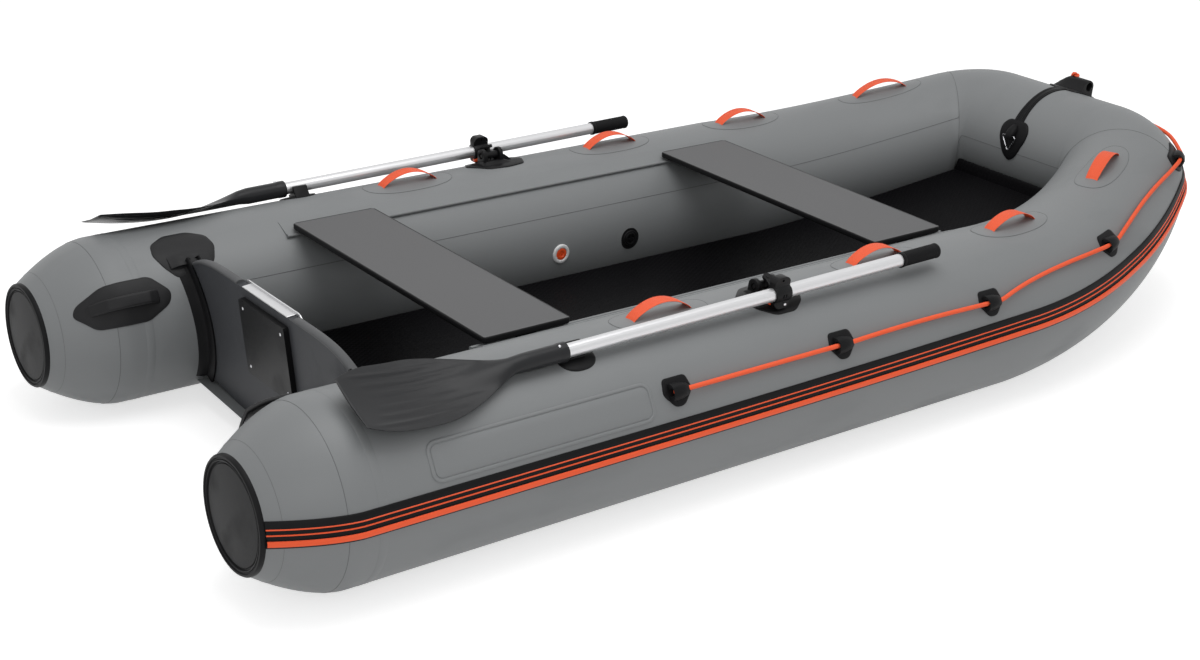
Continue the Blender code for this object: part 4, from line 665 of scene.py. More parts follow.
def turned(profile, sides=48, axis="Z"):
    """A form turned round an axis from (radius, along) pairs; it closes on itself or the axis."""
    bm = bmesh.new()
    rings = []
    for radius, along in profile:
        spots = [(0.0, 0.0)] if radius == 0 else [
            (radius * math.cos(turn), radius * math.sin(turn)) for turn in full_turn(sides)]
        rings.append([bm.verts.new(axis_point(axis, a, b, along)) for a, b in spots])
    pairs = list(zip(rings, rings[1:]))
    if profile[0][0] and profile[-1][0]:
        pairs.append((rings[-1], rings[0]))
    for low, high in pairs:
        for side in range(sides):
            after = (side + 1) % sides
            corners = [low[side % len(low)], low[after % len(low)],
                       high[after % len(high)], high[side % len(high)]]
            bm.faces.new(list(dict.fromkeys(corners)))
    return bm


def rod(radius, start, end, sides, axis="Z"):
    """A plain round bar, for bores and pins."""
    return turned(((0, start), (radius, start), (radius, end), (0, end)), sides, axis)


def prism(outline, low, high, axis="Z", edge=0.0):
    """A flat outline carried along an axis, its edges rounded."""
    bm = capped_skin(bmesh.new(), [[axis_point(axis, a, b, level) for a, b in outline]
                                   for level in (low, high)])
    return softened(bm, edge) if edge else bm


def softened(bm, width, turn=math.radians(28)):
    """Round every edge that turns more sharply than the limit."""
    bmesh.ops.recalc_face_normals(bm, faces=bm.faces)
    sharp = [edge for edge in bm.edges
             if len(edge.link_faces) == 2 and edge.calc_face_angle(0) > turn]
    bmesh.ops.bevel(bm, geom=sharp, offset=width, segments=2, affect="EDGES", profile=0.5,
                    clamp_overlap=True)
    return bm


def moved(bm, place):
    bmesh.ops.transform(bm, matrix=place, verts=bm.verts)
    return bm


def stand_in(bm):
    """A temporary object of this mesh."""
    bmesh.ops.recalc_face_normals(bm, faces=bm.faces)
    mesh = bpy.data.meshes.new("temporary")
    bm.to_mesh(mesh)
    bm.free()
    made = bpy.data.objects.new("temporary", mesh)
    bpy.context.collection.objects.link(made)
    return made


def combined(base, others, operation="UNION"):
    """The base joined with, or cut by, other closed meshes."""
    target = stand_in(base)
    tools = [stand_in(other) for other in others]
    for tool in tools:
        modifier = target.modifiers.new("combine", "BOOLEAN")
        modifier.operation = operation
        modifier.solver = "EXACT"
        modifier.object = tool
    result = bmesh.new()
    result.from_object(target, bpy.context.evaluated_depsgraph_get())
    for used in (target, *tools):
        mesh = used.data
        bpy.data.objects.remove(used)
        bpy.data.meshes.remove(mesh)
    return result


def together(first, *others):
    """Closed forms that touch, kept in one mesh."""
    for other in others:
        mesh = bpy.data.meshes.new("temporary")
        other.to_mesh(mesh)
        other.free()
        first.from_mesh(mesh)
        bpy.data.meshes.remove(mesh)
    return first


def rounded_outline(length, width, corner, steps=6):
    """A rectangle with round corners, centred."""
    points = []
    for quarter, (sx, sy) in enumerate(((1, 1), (-1, 1), (-1, -1), (1, -1))):
        for turn in spaced(quarter * math.pi / 2, (quarter + 1) * math.pi / 2, steps):
            points.append((sx * (length / 2 - corner) + corner * math.cos(turn),
                           sy * (width / 2 - corner) + corner * math.sin(turn)))
    return points


def oval_outline(length, width, squareness, count=64):
    """An oval that nears a rectangle as its squareness grows past 2."""
    return [(blunt(math.cos(turn), 2 / squareness) * length / 2,
             blunt(math.sin(turn), 2 / squareness) * width / 2) for turn in full_turn(count)]


def rounded_polygon(corners, cut, steps=6, pitch=0.006):
    """A polygon with its corners rounded and its long sides divided."""
    outline = []
    count = len(corners)
    for index in range(count):
        before, here, after = (Vector(corners[(index + shift) % count]) for shift in (-1, 0, 1))
        start = here + (before - here).normalized() * cut
        end = here + (after - here).normalized() * cut
        for share in spaced(0, 1, steps):
            outline.append(start.lerp(here, share).lerp(here.lerp(end, share), share))
        following = after + (here - after).normalized() * cut
        divisions = int((following - end).length / pitch)
        outline += [end.lerp(following, share) for share in spaced(0, 1, divisions + 1)[1:-1]]
    return [tuple(point) for point in outline]


def low_pad(run, angle, outline, edge, crown):
    """A moulded patch that follows the tube: a rounded edge, then a low crown."""
    place = seat_frame(run, angle)
    inverse = place.inverted()
    radius = tube_radius(run)
    steps = ((1.0, -0.003), (1.0, 0.3 * edge), (0.992, 0.75 * edge), (0.97, edge),
             (0.85, edge + 0.35 * crown), (0.6, edge + 0.8 * crown), (0.3, edge + crown),
             (0.04, edge + crown))
    bm = bmesh.new()
    loops = skin(bm, [[inverse @ hull_point(run + u * scale, angle + v * scale / radius, lift)
                       for u, v in outline] for scale, lift in steps])
    for loop, (_, lift) in ((loops[0], steps[0]), (loops[-1], steps[-1])):
        fan(bm, loop, inverse @ hull_point(run, angle, lift))
    return bm, place


def smooth_path(points, pitch):
    """Points close together on a smooth curve through the given ones."""
    path = []
    count = len(points)
    for index in range(count - 1):
        a = points[max(index - 1, 0)]
        b, c = points[index], points[index + 1]
        d = points[min(index + 2, count - 1)]
        steps = max(1, round((c - b).length / pitch))
        for share in spaced(0, 1, steps)[:-1]:
            path.append(0.5 * (2 * b + (c - a) * share + (2 * a - 5 * b + 4 * c - d) * share ** 2
                               + (3 * b - a - 3 * c + d) * share ** 3))
    path.append(points[-1])
    return path


def along_path(path, section, closed=False):
    """Rings of a section carried along a path without twist.

    section is called with the distance travelled and gives its points across the path.
    """
    rings = []
    count = len(path)
    side = None
    travelled = 0.0
    for index, point in enumerate(path):
        before = path[index - 1] if index or closed else point
        after = path[(index + 1) % count] if index + 1 < count or closed else point
        ahead = (after - before).normalized()
        if side is None:
            side = ahead.cross(UP if abs(ahead.z) < 0.9 else Vector((1, 0, 0))).normalized()
        side = (side - side.dot(ahead) * ahead).normalized()
        rise = side.cross(ahead)
        rings.append([point + a * side + b * rise for a, b in section(travelled)])
        if index + 1 < count:
            travelled += (path[index + 1] - point).length
    return rings


def round_section(radius, sides):
    """A plain round section, the same all along."""
    spots = [(radius * math.cos(turn), radius * math.sin(turn)) for turn in full_turn(sides)]
    return lambda travelled: spots


def braid_section(radius, sides=16, pitch=0.013):
    """A plaited rope's section, whose strands climb both ways round it."""
    def section(travelled):
        spots = []
        phase = 2 * math.pi * travelled / pitch
        for turn in full_turn(sides):
            strands = max(math.cos(4 * turn + 2 * phase), math.cos(4 * turn - 2 * phase))
            reach = radius * (0.93 + 0.09 * strands)
            spots.append((reach * math.cos(turn), reach * math.sin(turn)))
        return spots
    return section


def ring_of(path, section):
    """A section carried round a closed path."""
    bm = bmesh.new()
    loops = skin(bm, along_path(path, section, closed=True))
    for side in range(len(loops[0])):
        after = (side + 1) % len(loops[0])
        bm.faces.new((loops[-1][side], loops[-1][after], loops[0][after], loops[0][side]))
    return bm


def other_side(name):
    """The starboard name of a port piece, body or node."""
    return name.replace("port", "starboard")


def place_piece(name, mesh, finishes, body, place, nodes):
    """Link a mesh as a piece that rides on a body and stands for CAD nodes."""
    made = bpy.data.objects.new(name, mesh)
    bpy.context.collection.objects.link(made)
    if not mesh.materials:
        for finish in finishes:
            mesh.materials.append(FINISHES[finish])
    made.matrix_world = place
    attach(made, body)
    if nodes:
        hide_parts(*nodes)


def add_piece(name, bm, finish, body="hull", place=None, nodes=(), smooth=40, twin=False):
    """A piece, and with twin its mirror image to starboard."""
    finishes = (finish,) if isinstance(finish, str) else finish
    place = place or Matrix.Identity(4)
    bmesh.ops.recalc_face_normals(bm, faces=bm.faces)
    mesh = bpy.data.meshes.new(name)
    bm.to_mesh(mesh)
    bm.free()
    mesh.shade_smooth()
    mesh.set_sharp_from_angle(angle=math.radians(smooth))
    place_piece(name, mesh, finishes, body, place, nodes)
    if twin:
        other = mesh.copy()
        other.name = other_side(name)
        other.transform(MIRROR)
        other.flip_normals()
        place_piece(other_side(name), other, finishes, other_side(body),
                    MIRROR @ place @ MIRROR, [other_side(node) for node in nodes])


# Hull

def hull_ring(run):
    """All the points round the tube at one station."""
    return [hull_point(run, turn) for turn in full_turn(TUBE_SIDES)]


def both_halves(port):
    """Port rings up to the centreline, then their mirror images."""
    return port + [[MIRROR @ point for point in ring] for ring in reversed(port[:-1])]


def hull_runs():
    """Stations along the port half, closer where the tubes bend."""
    return (spaced(0, CONE_LENGTH, 18) + spaced(CONE_LENGTH, STRAIGHT, 26)[1:]
            + spaced(STRAIGHT, CORNER_START, 30)[1:] + spaced(CORNER_START, CORNER_END, 22)[1:]
            + spaced(CORNER_END, HALF_RUN, 6)[1:])


def add_tube_skin():
    """The coated cloth of all three chambers, in one piece."""
    bm = bmesh.new()
    skin(bm, both_halves([hull_ring(run) for run in hull_runs()]))
    nodes = ["bow_front"] + [f"{name}_{side}" for side in ("port", "starboard")
                             for name in ("side_tube", "stern_cone", "bow_side")]
    add_piece("tube_skin", bm, "hull_fabric", nodes=nodes, smooth=60)


def lengthwise(start, end, angle, count):
    """Points along the tube at one angle."""
    return [hull_point(run, angle) for run in spaced(start, end, count)]


def around(run, first, last, count):
    """Points round the tube at one station."""
    return [hull_point(run, turn) for turn in spaced(first, last, count)]


def seam_tape(run, first, last, count):
    """A lapped tape round the tube."""
    path = around(run, first, last, count)
    half, inner = TAPE_WIDTH / 2, TAPE_WIDTH / 2 - 0.0006
    section = ((-half, -0.001), (-half, 0.4 * TAPE_LIFT), (-inner, TAPE_LIFT),
               (inner, TAPE_LIFT), (half, 0.4 * TAPE_LIFT), (half, -0.001))
    rings = []
    for index, turn in enumerate(spaced(first, last, count)):
        ahead = (path[min(index + 1, count)] - path[max(index - 1, 0)]).normalized()
        normal = (hull_point(run, turn, 0.01) - path[index]).normalized()
        side = normal.cross(ahead)
        rings.append([path[index] + side * a + normal * b for a, b in section])
    return capped_skin(bmesh.new(), rings)


def seam_line(bm, points, radius=0.0009):
    """The thin bead of adhesive along a joint."""
    capped_skin(bm, along_path(points, round_section(radius, 6)))


def add_seams():
    """Tapes and bead lines where the panels of cloth are joined."""
    full = math.radians(178)
    beads = bmesh.new()
    seam_line(beads, lengthwise(SEAM_START, BOW_SEAM, SEAM_ANGLE, 140))
    seam_line(beads, lengthwise(CORNER_START + 0.03, HALF_RUN, LOW_SEAM_ANGLE, 60))
    for run, radius in CONE_SEAMS:
        seam_line(beads, around(run, -full, full, 120), radius)
    seam_line(beads, around(BOW_SEAM, math.radians(-150), math.radians(60), 80), 0.0007)
    add_piece("seam_tapes_port", seam_tape(TAPE_STATION, -full, full, 120), "hull_fabric",
              twin=True)
    add_piece("seam_beads_port", beads, "seam_bead", twin=True)


def add_name_plate():
    """The bare raised panel on each stern quarter."""
    run = (PLATE_START + PLATE_END) / 2
    length = PLATE_END - PLATE_START
    place = seat_frame(run, PLATE_ANGLE)
    inverse = place.inverted()
    radius = tube_radius(run)
    rings = []
    for inset, lift in ((0.0, -0.002), (0.0, 0.0012), (0.001, 0.0024), (0.003, 0.0030),
                        (0.0065, 0.0030), (0.008, 0.0022), (0.0088, 0.0006), (0.0108, 0.0006),
                        (0.0116, 0.0020), (0.013, 0.0025), (0.030, 0.0026)):
        outline = rounded_outline(length - 2 * inset, PLATE_WIDTH - 2 * inset,
                                  max(0.028 - inset, 0.004), 8)
        rings.append([inverse @ hull_point(run + u, PLATE_ANGLE + v / radius, lift)
                      for u, v in outline])
    add_piece("name_plate_port", capped_skin(bmesh.new(), rings), "hull_fabric", place=place,
              twin=True)


def add_end_caps():
    """A nearly flat rubber disc inside a thick double rim."""
    rim = CAP_RADIUS + 0.003
    crown = CAP_CROWN
    dome = [(share * rim, -crown * (0.42 - 0.20 * (share / 0.84) ** 2))
            for share in spaced(0, 0.84, 14)]
    profile = dome + [(0.855 * rim, -0.10 * crown), (0.875 * rim, -0.10 * crown),
                      (0.888 * rim, -0.34 * crown), (0.905 * rim, -0.38 * crown),
                      (0.920 * rim, -0.26 * crown), (0.934 * rim, -0.26 * crown),
                      (0.948 * rim, -0.44 * crown), (0.980 * rim, -0.42 * crown),
                      (rim, -0.22 * crown), (rim, 0.004), (rim - 0.004, 0.006), (0, 0.006)]
    add_piece("end_dome_port", turned(profile, 96, "X"), "black_rubber",
              place=Matrix.Translation(centreline(0)[0]), nodes=["end_cap_port"], twin=True)


def strake_angle(run):
    """Where the band's middle lies on the tube: it climbs a little towards the bow."""
    climb = (run - STRAKE_CLIMB_START) / (STRAIGHT + BEND_RUN / 2 - STRAKE_CLIMB_START)
    share = clamped(climb) ** 2
    return STRAKE_ANGLE + (STRAKE_BOW_ANGLE - STRAKE_ANGLE) * share


def strake_section():
    """The band's outline, black with two thin and one wide orange rib.

    Each point is its share of half the height, its lift off the tube and its side's finish.
    """
    base = 0.0042
    black, orange = 0, 1
    return ((1.0, -0.003, black), (1.0, 0.0010, black), (0.95, 0.0034, black),
            (0.90, base, black), (0.45, base, orange), (0.43, base + 0.0008, orange),
            (0.36, base + 0.0008, orange), (0.34, base - 0.0012, black),
            (0.05, base - 0.0012, orange), (0.03, base + 0.0008, orange),
            (-0.04, base + 0.0008, orange), (-0.06, base - 0.0012, black),
            (-0.37, base - 0.0012, black), (-0.39, 0.0050, orange), (-0.43, 0.0082, orange),
            (-0.50, STRAKE_PROUD, orange), (-0.72, STRAKE_PROUD, orange),
            (-0.79, 0.0082, orange), (-0.83, 0.0058, black), (-0.88, 0.0046, black),
            (-0.96, 0.0038, black), (-1.0, 0.0010, black), (-1.0, -0.003, black))


def add_strake():
    """The ribbed band round the outside of all the tubes."""
    half = STRAKE_HEIGHT / 2
    start = 0.003
    section = strake_section()
    port = []
    for run in [start] + [run for run in hull_runs() if run > start]:
        angle, reach = strake_angle(run), tube_radius(run)
        port.append([hull_point(run, angle - share * half / reach, lift)
                     for share, lift, _ in section])
    add_piece("rubbing_band", closed_skin(both_halves(port), [f for _, _, f in section]),
              ("strake_rubber", "strake_line"), nodes=["rubbing_strake"], smooth=30)


# Floor and bottom

def plan_edge(run, inset):
    """Plan place of a point inboard of the tube's centreline."""
    centre, heading = centreline(run)
    return centre.x - inset * math.sin(heading), centre.y - inset * math.cos(heading)


def bend_runs():
    """Stations through the long bend and the corner, without the first."""
    return spaced(STRAIGHT, CORNER_START, 20)[1:] + spaced(CORNER_START, CORNER_END, 8)[1:]


def add_deck():
    """The inflated floor, tight and flat, with a round edge."""
    stations = [(TRANSOM_STATION + ahead, notch) for ahead, notch in DECK_STERN_CORNER]
    stations += [(run, 0.0) for run in spaced(0.7, STRAIGHT, 10) + bend_runs()]
    rings = []
    for run, notch in stations:
        middle = centreline(run)[0].z - TUBE_RADIUS + DECK_TOP - DECK_THICKNESS / 2
        inset = DECK_INSET + notch - 1.1 * (TUBE_RADIUS - tube_radius(run))
        port = []
        for turn in spaced(math.pi / 2, -math.pi / 2, 10):
            x, y = plan_edge(run, inset + DECK_EDGE_ROUND * (1 - math.cos(turn)))
            port.append(Vector((x, y, middle + math.sin(turn) * DECK_THICKNESS / 2)))
        rings.append(port + [MIRROR @ point for point in reversed(port)])
    add_piece("deck_skin", closed_skin(rings), "deck_fabric", nodes=["air_deck"])
    add_deck_valve()


def deck_spot(from_bow):
    """A point of the floor's top on the middle line."""
    run = FRONT_AXIS - from_bow
    return Vector((RIM_X + run, 0, DECK_TOP + centreline(run)[0].z - TUBE_RADIUS))


def add_deck_valve():
    """Filling valve let into the floor, in a round rubber patch."""
    spot = deck_spot(DECK_VALVE_FROM_BOW)
    ahead = deck_spot(DECK_VALVE_FROM_BOW - 0.05) - spot
    place = Matrix.Translation(spot) @ Matrix.Rotation(-math.atan2(ahead.z, ahead.x), 4, "Y")
    profile = ((0, -0.004), (0.019, -0.004), (0.0225, -0.002), (0.0235, 0.0035), (0.026, 0.0055),
               (0.030, 0.0055), (0.034, 0.0028), (0.052, 0.0022), (0.060, 0.0020),
               (0.062, 0.0008), (0.062, -0.004))
    add_piece("deck_valve_seat", turned(profile, 64), "black_rubber", place=place)
    cap = turned(((0, 0.0015), (0.012, 0.0015), (0.015, 0.0008), (0.0175, -0.003),
                  (0.0175, -0.0045), (0, -0.0045)), 40)
    bar = prism(rounded_outline(0.031, 0.007, 0.003, 4), -0.001, 0.0048, edge=0.001)
    add_piece("deck_valve_cap", combined(cap, [bar]), "black_plastic", place=place)


# Shares of the way from the keel out to the cloth's edge, closer near the keel
BOTTOM_SHARES = [1.0, 0.85, 0.7, 0.55, 0.4, 0.26, 0.12, 0.05, 0.0]


def bottom_point(run, share):
    """Underside of the bottom cloth at a share of the way out from the keel."""
    def edge_at(where):
        turn = clamped((where - STRAIGHT) / (CORNER_END - STRAIGHT))
        angle = -BOTTOM_EDGE_ANGLE - BOTTOM_EDGE_TURN * turn
        return hull_point(where, angle, BOTTOM_EDGE_LIFT)
    edge, front = edge_at(run), edge_at(CORNER_END)
    straight = RIM_X + STRAIGHT
    rise = (max(0.0, edge.x - straight) / (front.x - straight)) ** 2
    keel = KEEL_HEIGHT + (front.z - KEEL_HEIGHT) * rise
    return Vector((edge.x, edge.y * share, keel + (edge.z - keel) * share ** 0.8))


def add_bottom():
    """The bottom cloth, glued under the tubes and keeled along the middle."""
    rings = []
    for run in [BOTTOM_START] + spaced(0.6, STRAIGHT, 12) + bend_runs():
        row = [bottom_point(run, share) for share in BOTTOM_SHARES]
        under = row + [MIRROR @ point for point in reversed(row[:-1])]
        over = [point + BOTTOM_THICKNESS * UP for point in reversed(under)]
        rings.append(under + over)
    bm = bmesh.new()
    loops = skin(bm, rings)
    for loop in (loops[0], loops[-1]):
        half = len(loop) // 2
        for step in range(half - 1):
            bm.faces.new((loop[step], loop[step + 1], loop[-2 - step], loop[-1 - step]))
    add_piece("bottom_cloth", bm, "hull_fabric", nodes=["bottom_skin"])


# Transom

def transom_x(height):
    """Where the raked board's middle plane lies at a height."""
    return RIM_X + TRANSOM_STATION - (height - TUBE_RADIUS) * math.tan(TRANSOM_RAKE)


def on_transom(y, z, off=0.0):
    """A point of the board's middle plane, moved forward off it."""
    return Vector((transom_x(z) + off * math.cos(TRANSOM_RAKE), y,
                   z + off * math.sin(TRANSOM_RAKE)))


def dress_transom():
    """New finishes and rounded edges for the board, its pad and its plate."""
    for node, finish, edge in (("transom_board", "transom_board", 0.0015),
                               ("motor_pad", "black_plastic", 0.0025),
                               ("motor_plate", "aluminium", 0.0006)):
        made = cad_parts[node]
        made.data.materials[0] = FINISHES[finish]
        rounding = made.modifiers.new("rounded_edges", "BEVEL")
        rounding.width = edge
        rounding.segments = 2
        rounding.limit_method = "ANGLE"
        rounding.angle_limit = math.radians(40)


def add_transom_trim():
    """A half-round trim along the board's top, from its level middle out to each shoulder."""
    wide, fall = TRIM_SHOULDER[0] - TRIM_LEVEL_HALF, TRANSOM_TOP - TRIM_SHOULDER[1]
    edge = [on_transom(TRIM_LEVEL_HALF + wide * share, TRANSOM_TOP - fall * share ** 4)
            for share in spaced(1, 0, 12)]
    half = TRANSOM_THICKNESS / 2 + TRIM_OVERHANG
    section = [(half * math.cos(turn), 0.0005 + TRIM_HEIGHT * math.sin(turn))
               for turn in full_turn(24)]
    rings = along_path(smooth_path(edge, 0.008), lambda travelled: section)
    add_piece("transom_trim_port", closed_skin(rings), "transom_trim", twin=True)


def add_pad_screws():
    """Domed screw heads on the motor pad."""
    face = -TRANSOM_THICKNESS / 2 - 0.0003 - PAD_THICKNESS
    for index, (y, z) in enumerate(PAD_SCREWS, 1):
        head = turned(((0, 0.0018), (0.0028, 0.0015), (0.0042, 0.0004), (0.0045, -0.001),
                       (0, -0.001)), 20)
        place = Matrix.Translation(on_transom(y, z, face)) @ Matrix.Rotation(
            -math.pi / 2 - TRANSOM_RAKE, 4, "Y")
        add_piece(f"pad_screw_port_{index}", head, "ring_steel", place=place, twin=True)


def add_transom_channel():
    """Rubber channel down the tube that grips the board's end."""
    half = TRANSOM_THICKNESS / 2 / math.cos(TRANSOM_RAKE) + 0.0003
    aft_side = [(-0.050, -0.003), (-0.050, 0.0010), (-0.047, 0.0026), (-0.030, 0.0032),
                (-0.026, 0.0060), (-half - 0.009, 0.0075), (-half - 0.0075, 0.026),
                (-half - 0.005, 0.0305), (-half - 0.002, 0.0305), (-half, 0.028), (-half, 0.006)]
    profile = aft_side + [(-across, lift) for across, lift in reversed(aft_side)]
    rings = []
    for angle in spaced(HOLDER_START, HOLDER_END, 30):
        ring = []
        for across, lift in profile:
            reach = TUBE_RADIUS + lift
            y = TUBE_AXIS_Y - reach * math.sin(angle)
            z = TUBE_RADIUS + reach * math.cos(angle)
            ring.append(Vector((transom_x(z) + across, y, z)))
        rings.append(ring)
    add_piece("transom_channel_port", closed_skin(rings), "black_rubber",
              nodes=["transom_holder_port"], twin=True, smooth=50)


def add_holder_cap():
    """The channel's glued cap on top of the tube, with its folded lip."""
    station = transom_x(2 * TUBE_RADIUS) - RIM_X
    corners = [(-0.034, 0.068), (0.034, 0.068), (0.080, 0.040), (0.090, 0.000), (0.072, -0.045),
               (0.045, -0.078), (-0.045, -0.078), (-0.072, -0.045), (-0.090, 0.000),
               (-0.080, 0.040)]
    pad, place = low_pad(station, -HOLDER_CAP_ANGLE, rounded_polygon(corners, 0.012), 0.0028,
                         0.0030)
    inverse = place.inverted()
    rings = []
    for u in spaced(-0.058, 0.058, 30):
        tall = 0.016 * math.cos(math.pi * u / 0.124) ** 0.6 * (1 + 0.12 * math.sin(140 * u))
        lip = ((-0.004, 0.0035), (-0.024, 0.0050 + 0.35 * tall), (-0.046, 0.0050 + tall),
               (-0.052, 0.0045 + tall), (-0.050, 0.0030 + 0.8 * tall), (-0.040, 0.0030))
        rings.append([inverse @ hull_point(station + u, -HOLDER_CAP_ANGLE + v / TUBE_RADIUS, lift)
                      for v, lift in lip])
    add_piece("holder_cap_port", combined(pad, [closed_skin(rings)]), "soft_rubber", place=place,
              twin=True)


# Seats

def seat_plank():
    """A plank with rounded rubber edges round its top facing."""
    half_x, half_y = SEAT_WIDTH / 2, SEAT_LENGTH / 2
    thick = SEAT_THICKNESS
    rings = []
    for inset, level in ((0.010, -thick), (0.0020, -thick), (0.0004, -thick + 0.0016),
                         (0.0, -thick + 0.004), (0.0, -0.004), (0.0005, -0.0016),
                         (0.0020, -0.0002), (0.0034, 0.0), (0.0050, -0.0004), (0.012, -0.0004)):
        outline = rounded_outline(2 * (half_x - inset), 2 * (half_y - inset),
                                  max(0.013 - inset, 0.002), 6)
        rings.append([Vector((x, y, level)) for x, y in outline])
    bm = capped_skin(bmesh.new(), rings)
    bmesh.ops.recalc_face_normals(bm, faces=bm.faces)
    for face in bm.faces:
        middle = face.calc_center_median()
        from_edge = min(half_x - abs(middle.x), half_y - abs(middle.y))
        face.material_index = 0 if face.normal.z > 0.9 and from_edge > 0.0045 else 1
    return bm


def add_seats():
    """Bench planks with dark rubber edges, and the clips that slide on the welts."""
    under = -SEAT_THICKNESS + 0.0005
    for name, station in SEATS.items():
        place = Matrix.Translation((RIM_X + station, 0, SEAT_TOP))
        add_piece(f"{name}_plank", seat_plank(), ("seat_board", "seat_edge"), body=name,
                  place=place, nodes=[name])
        welt = welt_centre(station)
        roof = welt.z + WELT_RADIUS + 0.0015 - SEAT_TOP
        edge = welt.y - WELT_RADIUS - 0.0015
        profile = [(edge - 0.018, under), (edge + 0.020, under), (edge + 0.020, roof),
                   (edge, roof), (edge, roof - 0.014), (edge - 0.006, roof - 0.018),
                   (edge - 0.018, roof)]
        for label, side in (("port", 1), ("starboard", -1)):
            clip = prism([(side * y, z) for y, z in profile], -0.030, 0.030, "X", 0.0012)
            add_piece(f"{name}_clip_{label}", clip, "seat_edge", body=name, place=place)


def welt_centre(run):
    """Middle of the track's round welt."""
    return hull_point(run, -TRACK_ANGLE, WELT_RADIUS + 0.0015)


def add_seat_track():
    """A glued strip with a round welt, which the seats' clips ride."""
    upper = TRACK_ANGLE - TRACK_WIDTH / TUBE_RADIUS
    rings = []
    for run in spaced(TRACK_START, TRACK_END, 20):
        ring = [hull_point(run, -upper, -0.002), hull_point(run, -upper, 0.0006),
                hull_point(run, -upper - 0.004, 0.0014),
                hull_point(run, -(upper + TRACK_ANGLE) / 2, 0.0015)]
        for turn in spaced(110, -110, 14):
            angle = math.radians(turn) - TRACK_ANGLE
            ring.append(welt_centre(run)
                        + WELT_RADIUS * Vector((0, math.sin(angle), math.cos(angle))))
        ring.append(hull_point(run, -TRACK_ANGLE, -0.002))
        rings.append(ring)
    add_piece("welted_track_port", closed_skin(rings), "hull_fabric",
              nodes=["seat_track_port"], twin=True)


# Handles, lifeline and bow gear

def webbing_ring(run, share, inverse):
    """The webbing's section at a share of its arc, tucked in at both ends."""
    height = HANDLE_HEIGHT * max(math.sin(math.pi * clamped(share)), 0) ** 0.75
    sink = -0.004 if not 0 <= share <= 1 else 0.0
    along = run - HANDLE_SPAN / 2 + HANDLE_SPAN * share
    spread = HANDLE_WIDTH / 2 / tube_radius(run)
    section = ((-1, 0.0005), (-0.96, 0), (0.96, 0), (1, 0.0005), (1, WEBBING - 0.0005),
               (0.96, WEBBING), (-0.96, WEBBING), (-1, WEBBING - 0.0005))
    return [inverse @ hull_point(along, side * spread, height + lift + sink)
            for side, lift in section]


def add_grab_handles():
    """Webbing loops, each tucked under a glued oval patch."""
    half = HANDLE_SPAN / 2
    for number, run in enumerate(HANDLE_STATIONS, 1):
        place = seat_frame(run, 0.0)
        inverse = place.inverted()
        rings = [webbing_ring(run, share, inverse) for share in spaced(-0.04, 1.04, 44)]
        add_piece(f"webbing_loop_port_{number}", closed_skin(rings), "webbing", place=place,
                  nodes=[f"grab_handle_port_{number}"], twin=True)
        outline = oval_outline(PATCH_LENGTH, PATCH_WIDTH, 2.5, 72)
        patch, place = low_pad(run, 0.0, outline, 0.0009, 0.0006)
        for vertex in patch.verts:
            tuck = math.exp(-((abs(vertex.co.x) - half - 0.008) / 0.012) ** 2)
            vertex.co.z += 0.0022 * tuck * math.exp(-(vertex.co.y / 0.024) ** 6)
        add_piece(f"handle_patch_port_{number}", patch, "hull_fabric", place=place, twin=True)
        bead = bmesh.new()
        rim = [inverse @ hull_point(run + u, v / tube_radius(run), 0.0004) for u, v in outline]
        seam_line(bead, rim + [rim[0]], 0.0006)
        add_piece(f"patch_bead_port_{number}", bead, "seam_bead", place=place, twin=True)


def fitting_outline():
    """Six-cornered pad, widest a little above its foot."""
    length, width = FITTING_LENGTH / 2, FITTING_WIDTH / 2
    return rounded_polygon([(0.78 * length, -width), (-0.80 * length, -width),
                            (-length, 0.05 * width), (-0.30 * length, width),
                            (0.30 * length, width), (length, 0.05 * width)], 0.011)


def fitting_hood():
    """The hood over the rope, blunt at its stern end and tapered to the bow."""
    rings = []
    for along, width, height in ((-0.029, 0.0170, 0.62), (-0.026, 0.0225, 0.92),
                                 (-0.015, 0.0235, 1.0), (0.006, 0.0215, 0.98),
                                 (0.022, 0.0170, 0.82), (0.031, 0.0115, 0.55)):
        rings.append([Vector((along, width * blunt(math.cos(turn), 0.75),
                              FITTING_HEIGHT * height * blunt(math.sin(turn), 0.8) - 0.002))
                      for turn in spaced(-0.12 * math.pi, 1.12 * math.pi, 22)])
    return closed_skin(rings)


def add_lifeline_fittings():
    """Moulded pads with a hood that the rope passes through."""
    hole = ROPE_RADIUS + 0.0010
    flare = 0.0105
    for number, (run, angle) in enumerate(zip(FITTING_STATIONS, FITTING_ANGLES), 1):
        base, place = low_pad(run, angle, fitting_outline(), 0.0034, 0.0016)
        mouth = moved(turned(((0, -0.05), (flare, -0.05), (flare, -0.022), (hole, -0.009),
                              (hole, 0.05), (0, 0.05)), 28, "X"),
                      Matrix.Translation((0, 0, ROPE_LIFT)))
        eye = combined(combined(base, [fitting_hood()]), [mouth], "DIFFERENCE")
        nodes = [f"lifeline_fitting_port_{number}"] if number <= 3 else []
        add_piece(f"rope_eye_port_{number}", eye, "black_rubber", place=place, nodes=nodes,
                  twin=True, smooth=45)


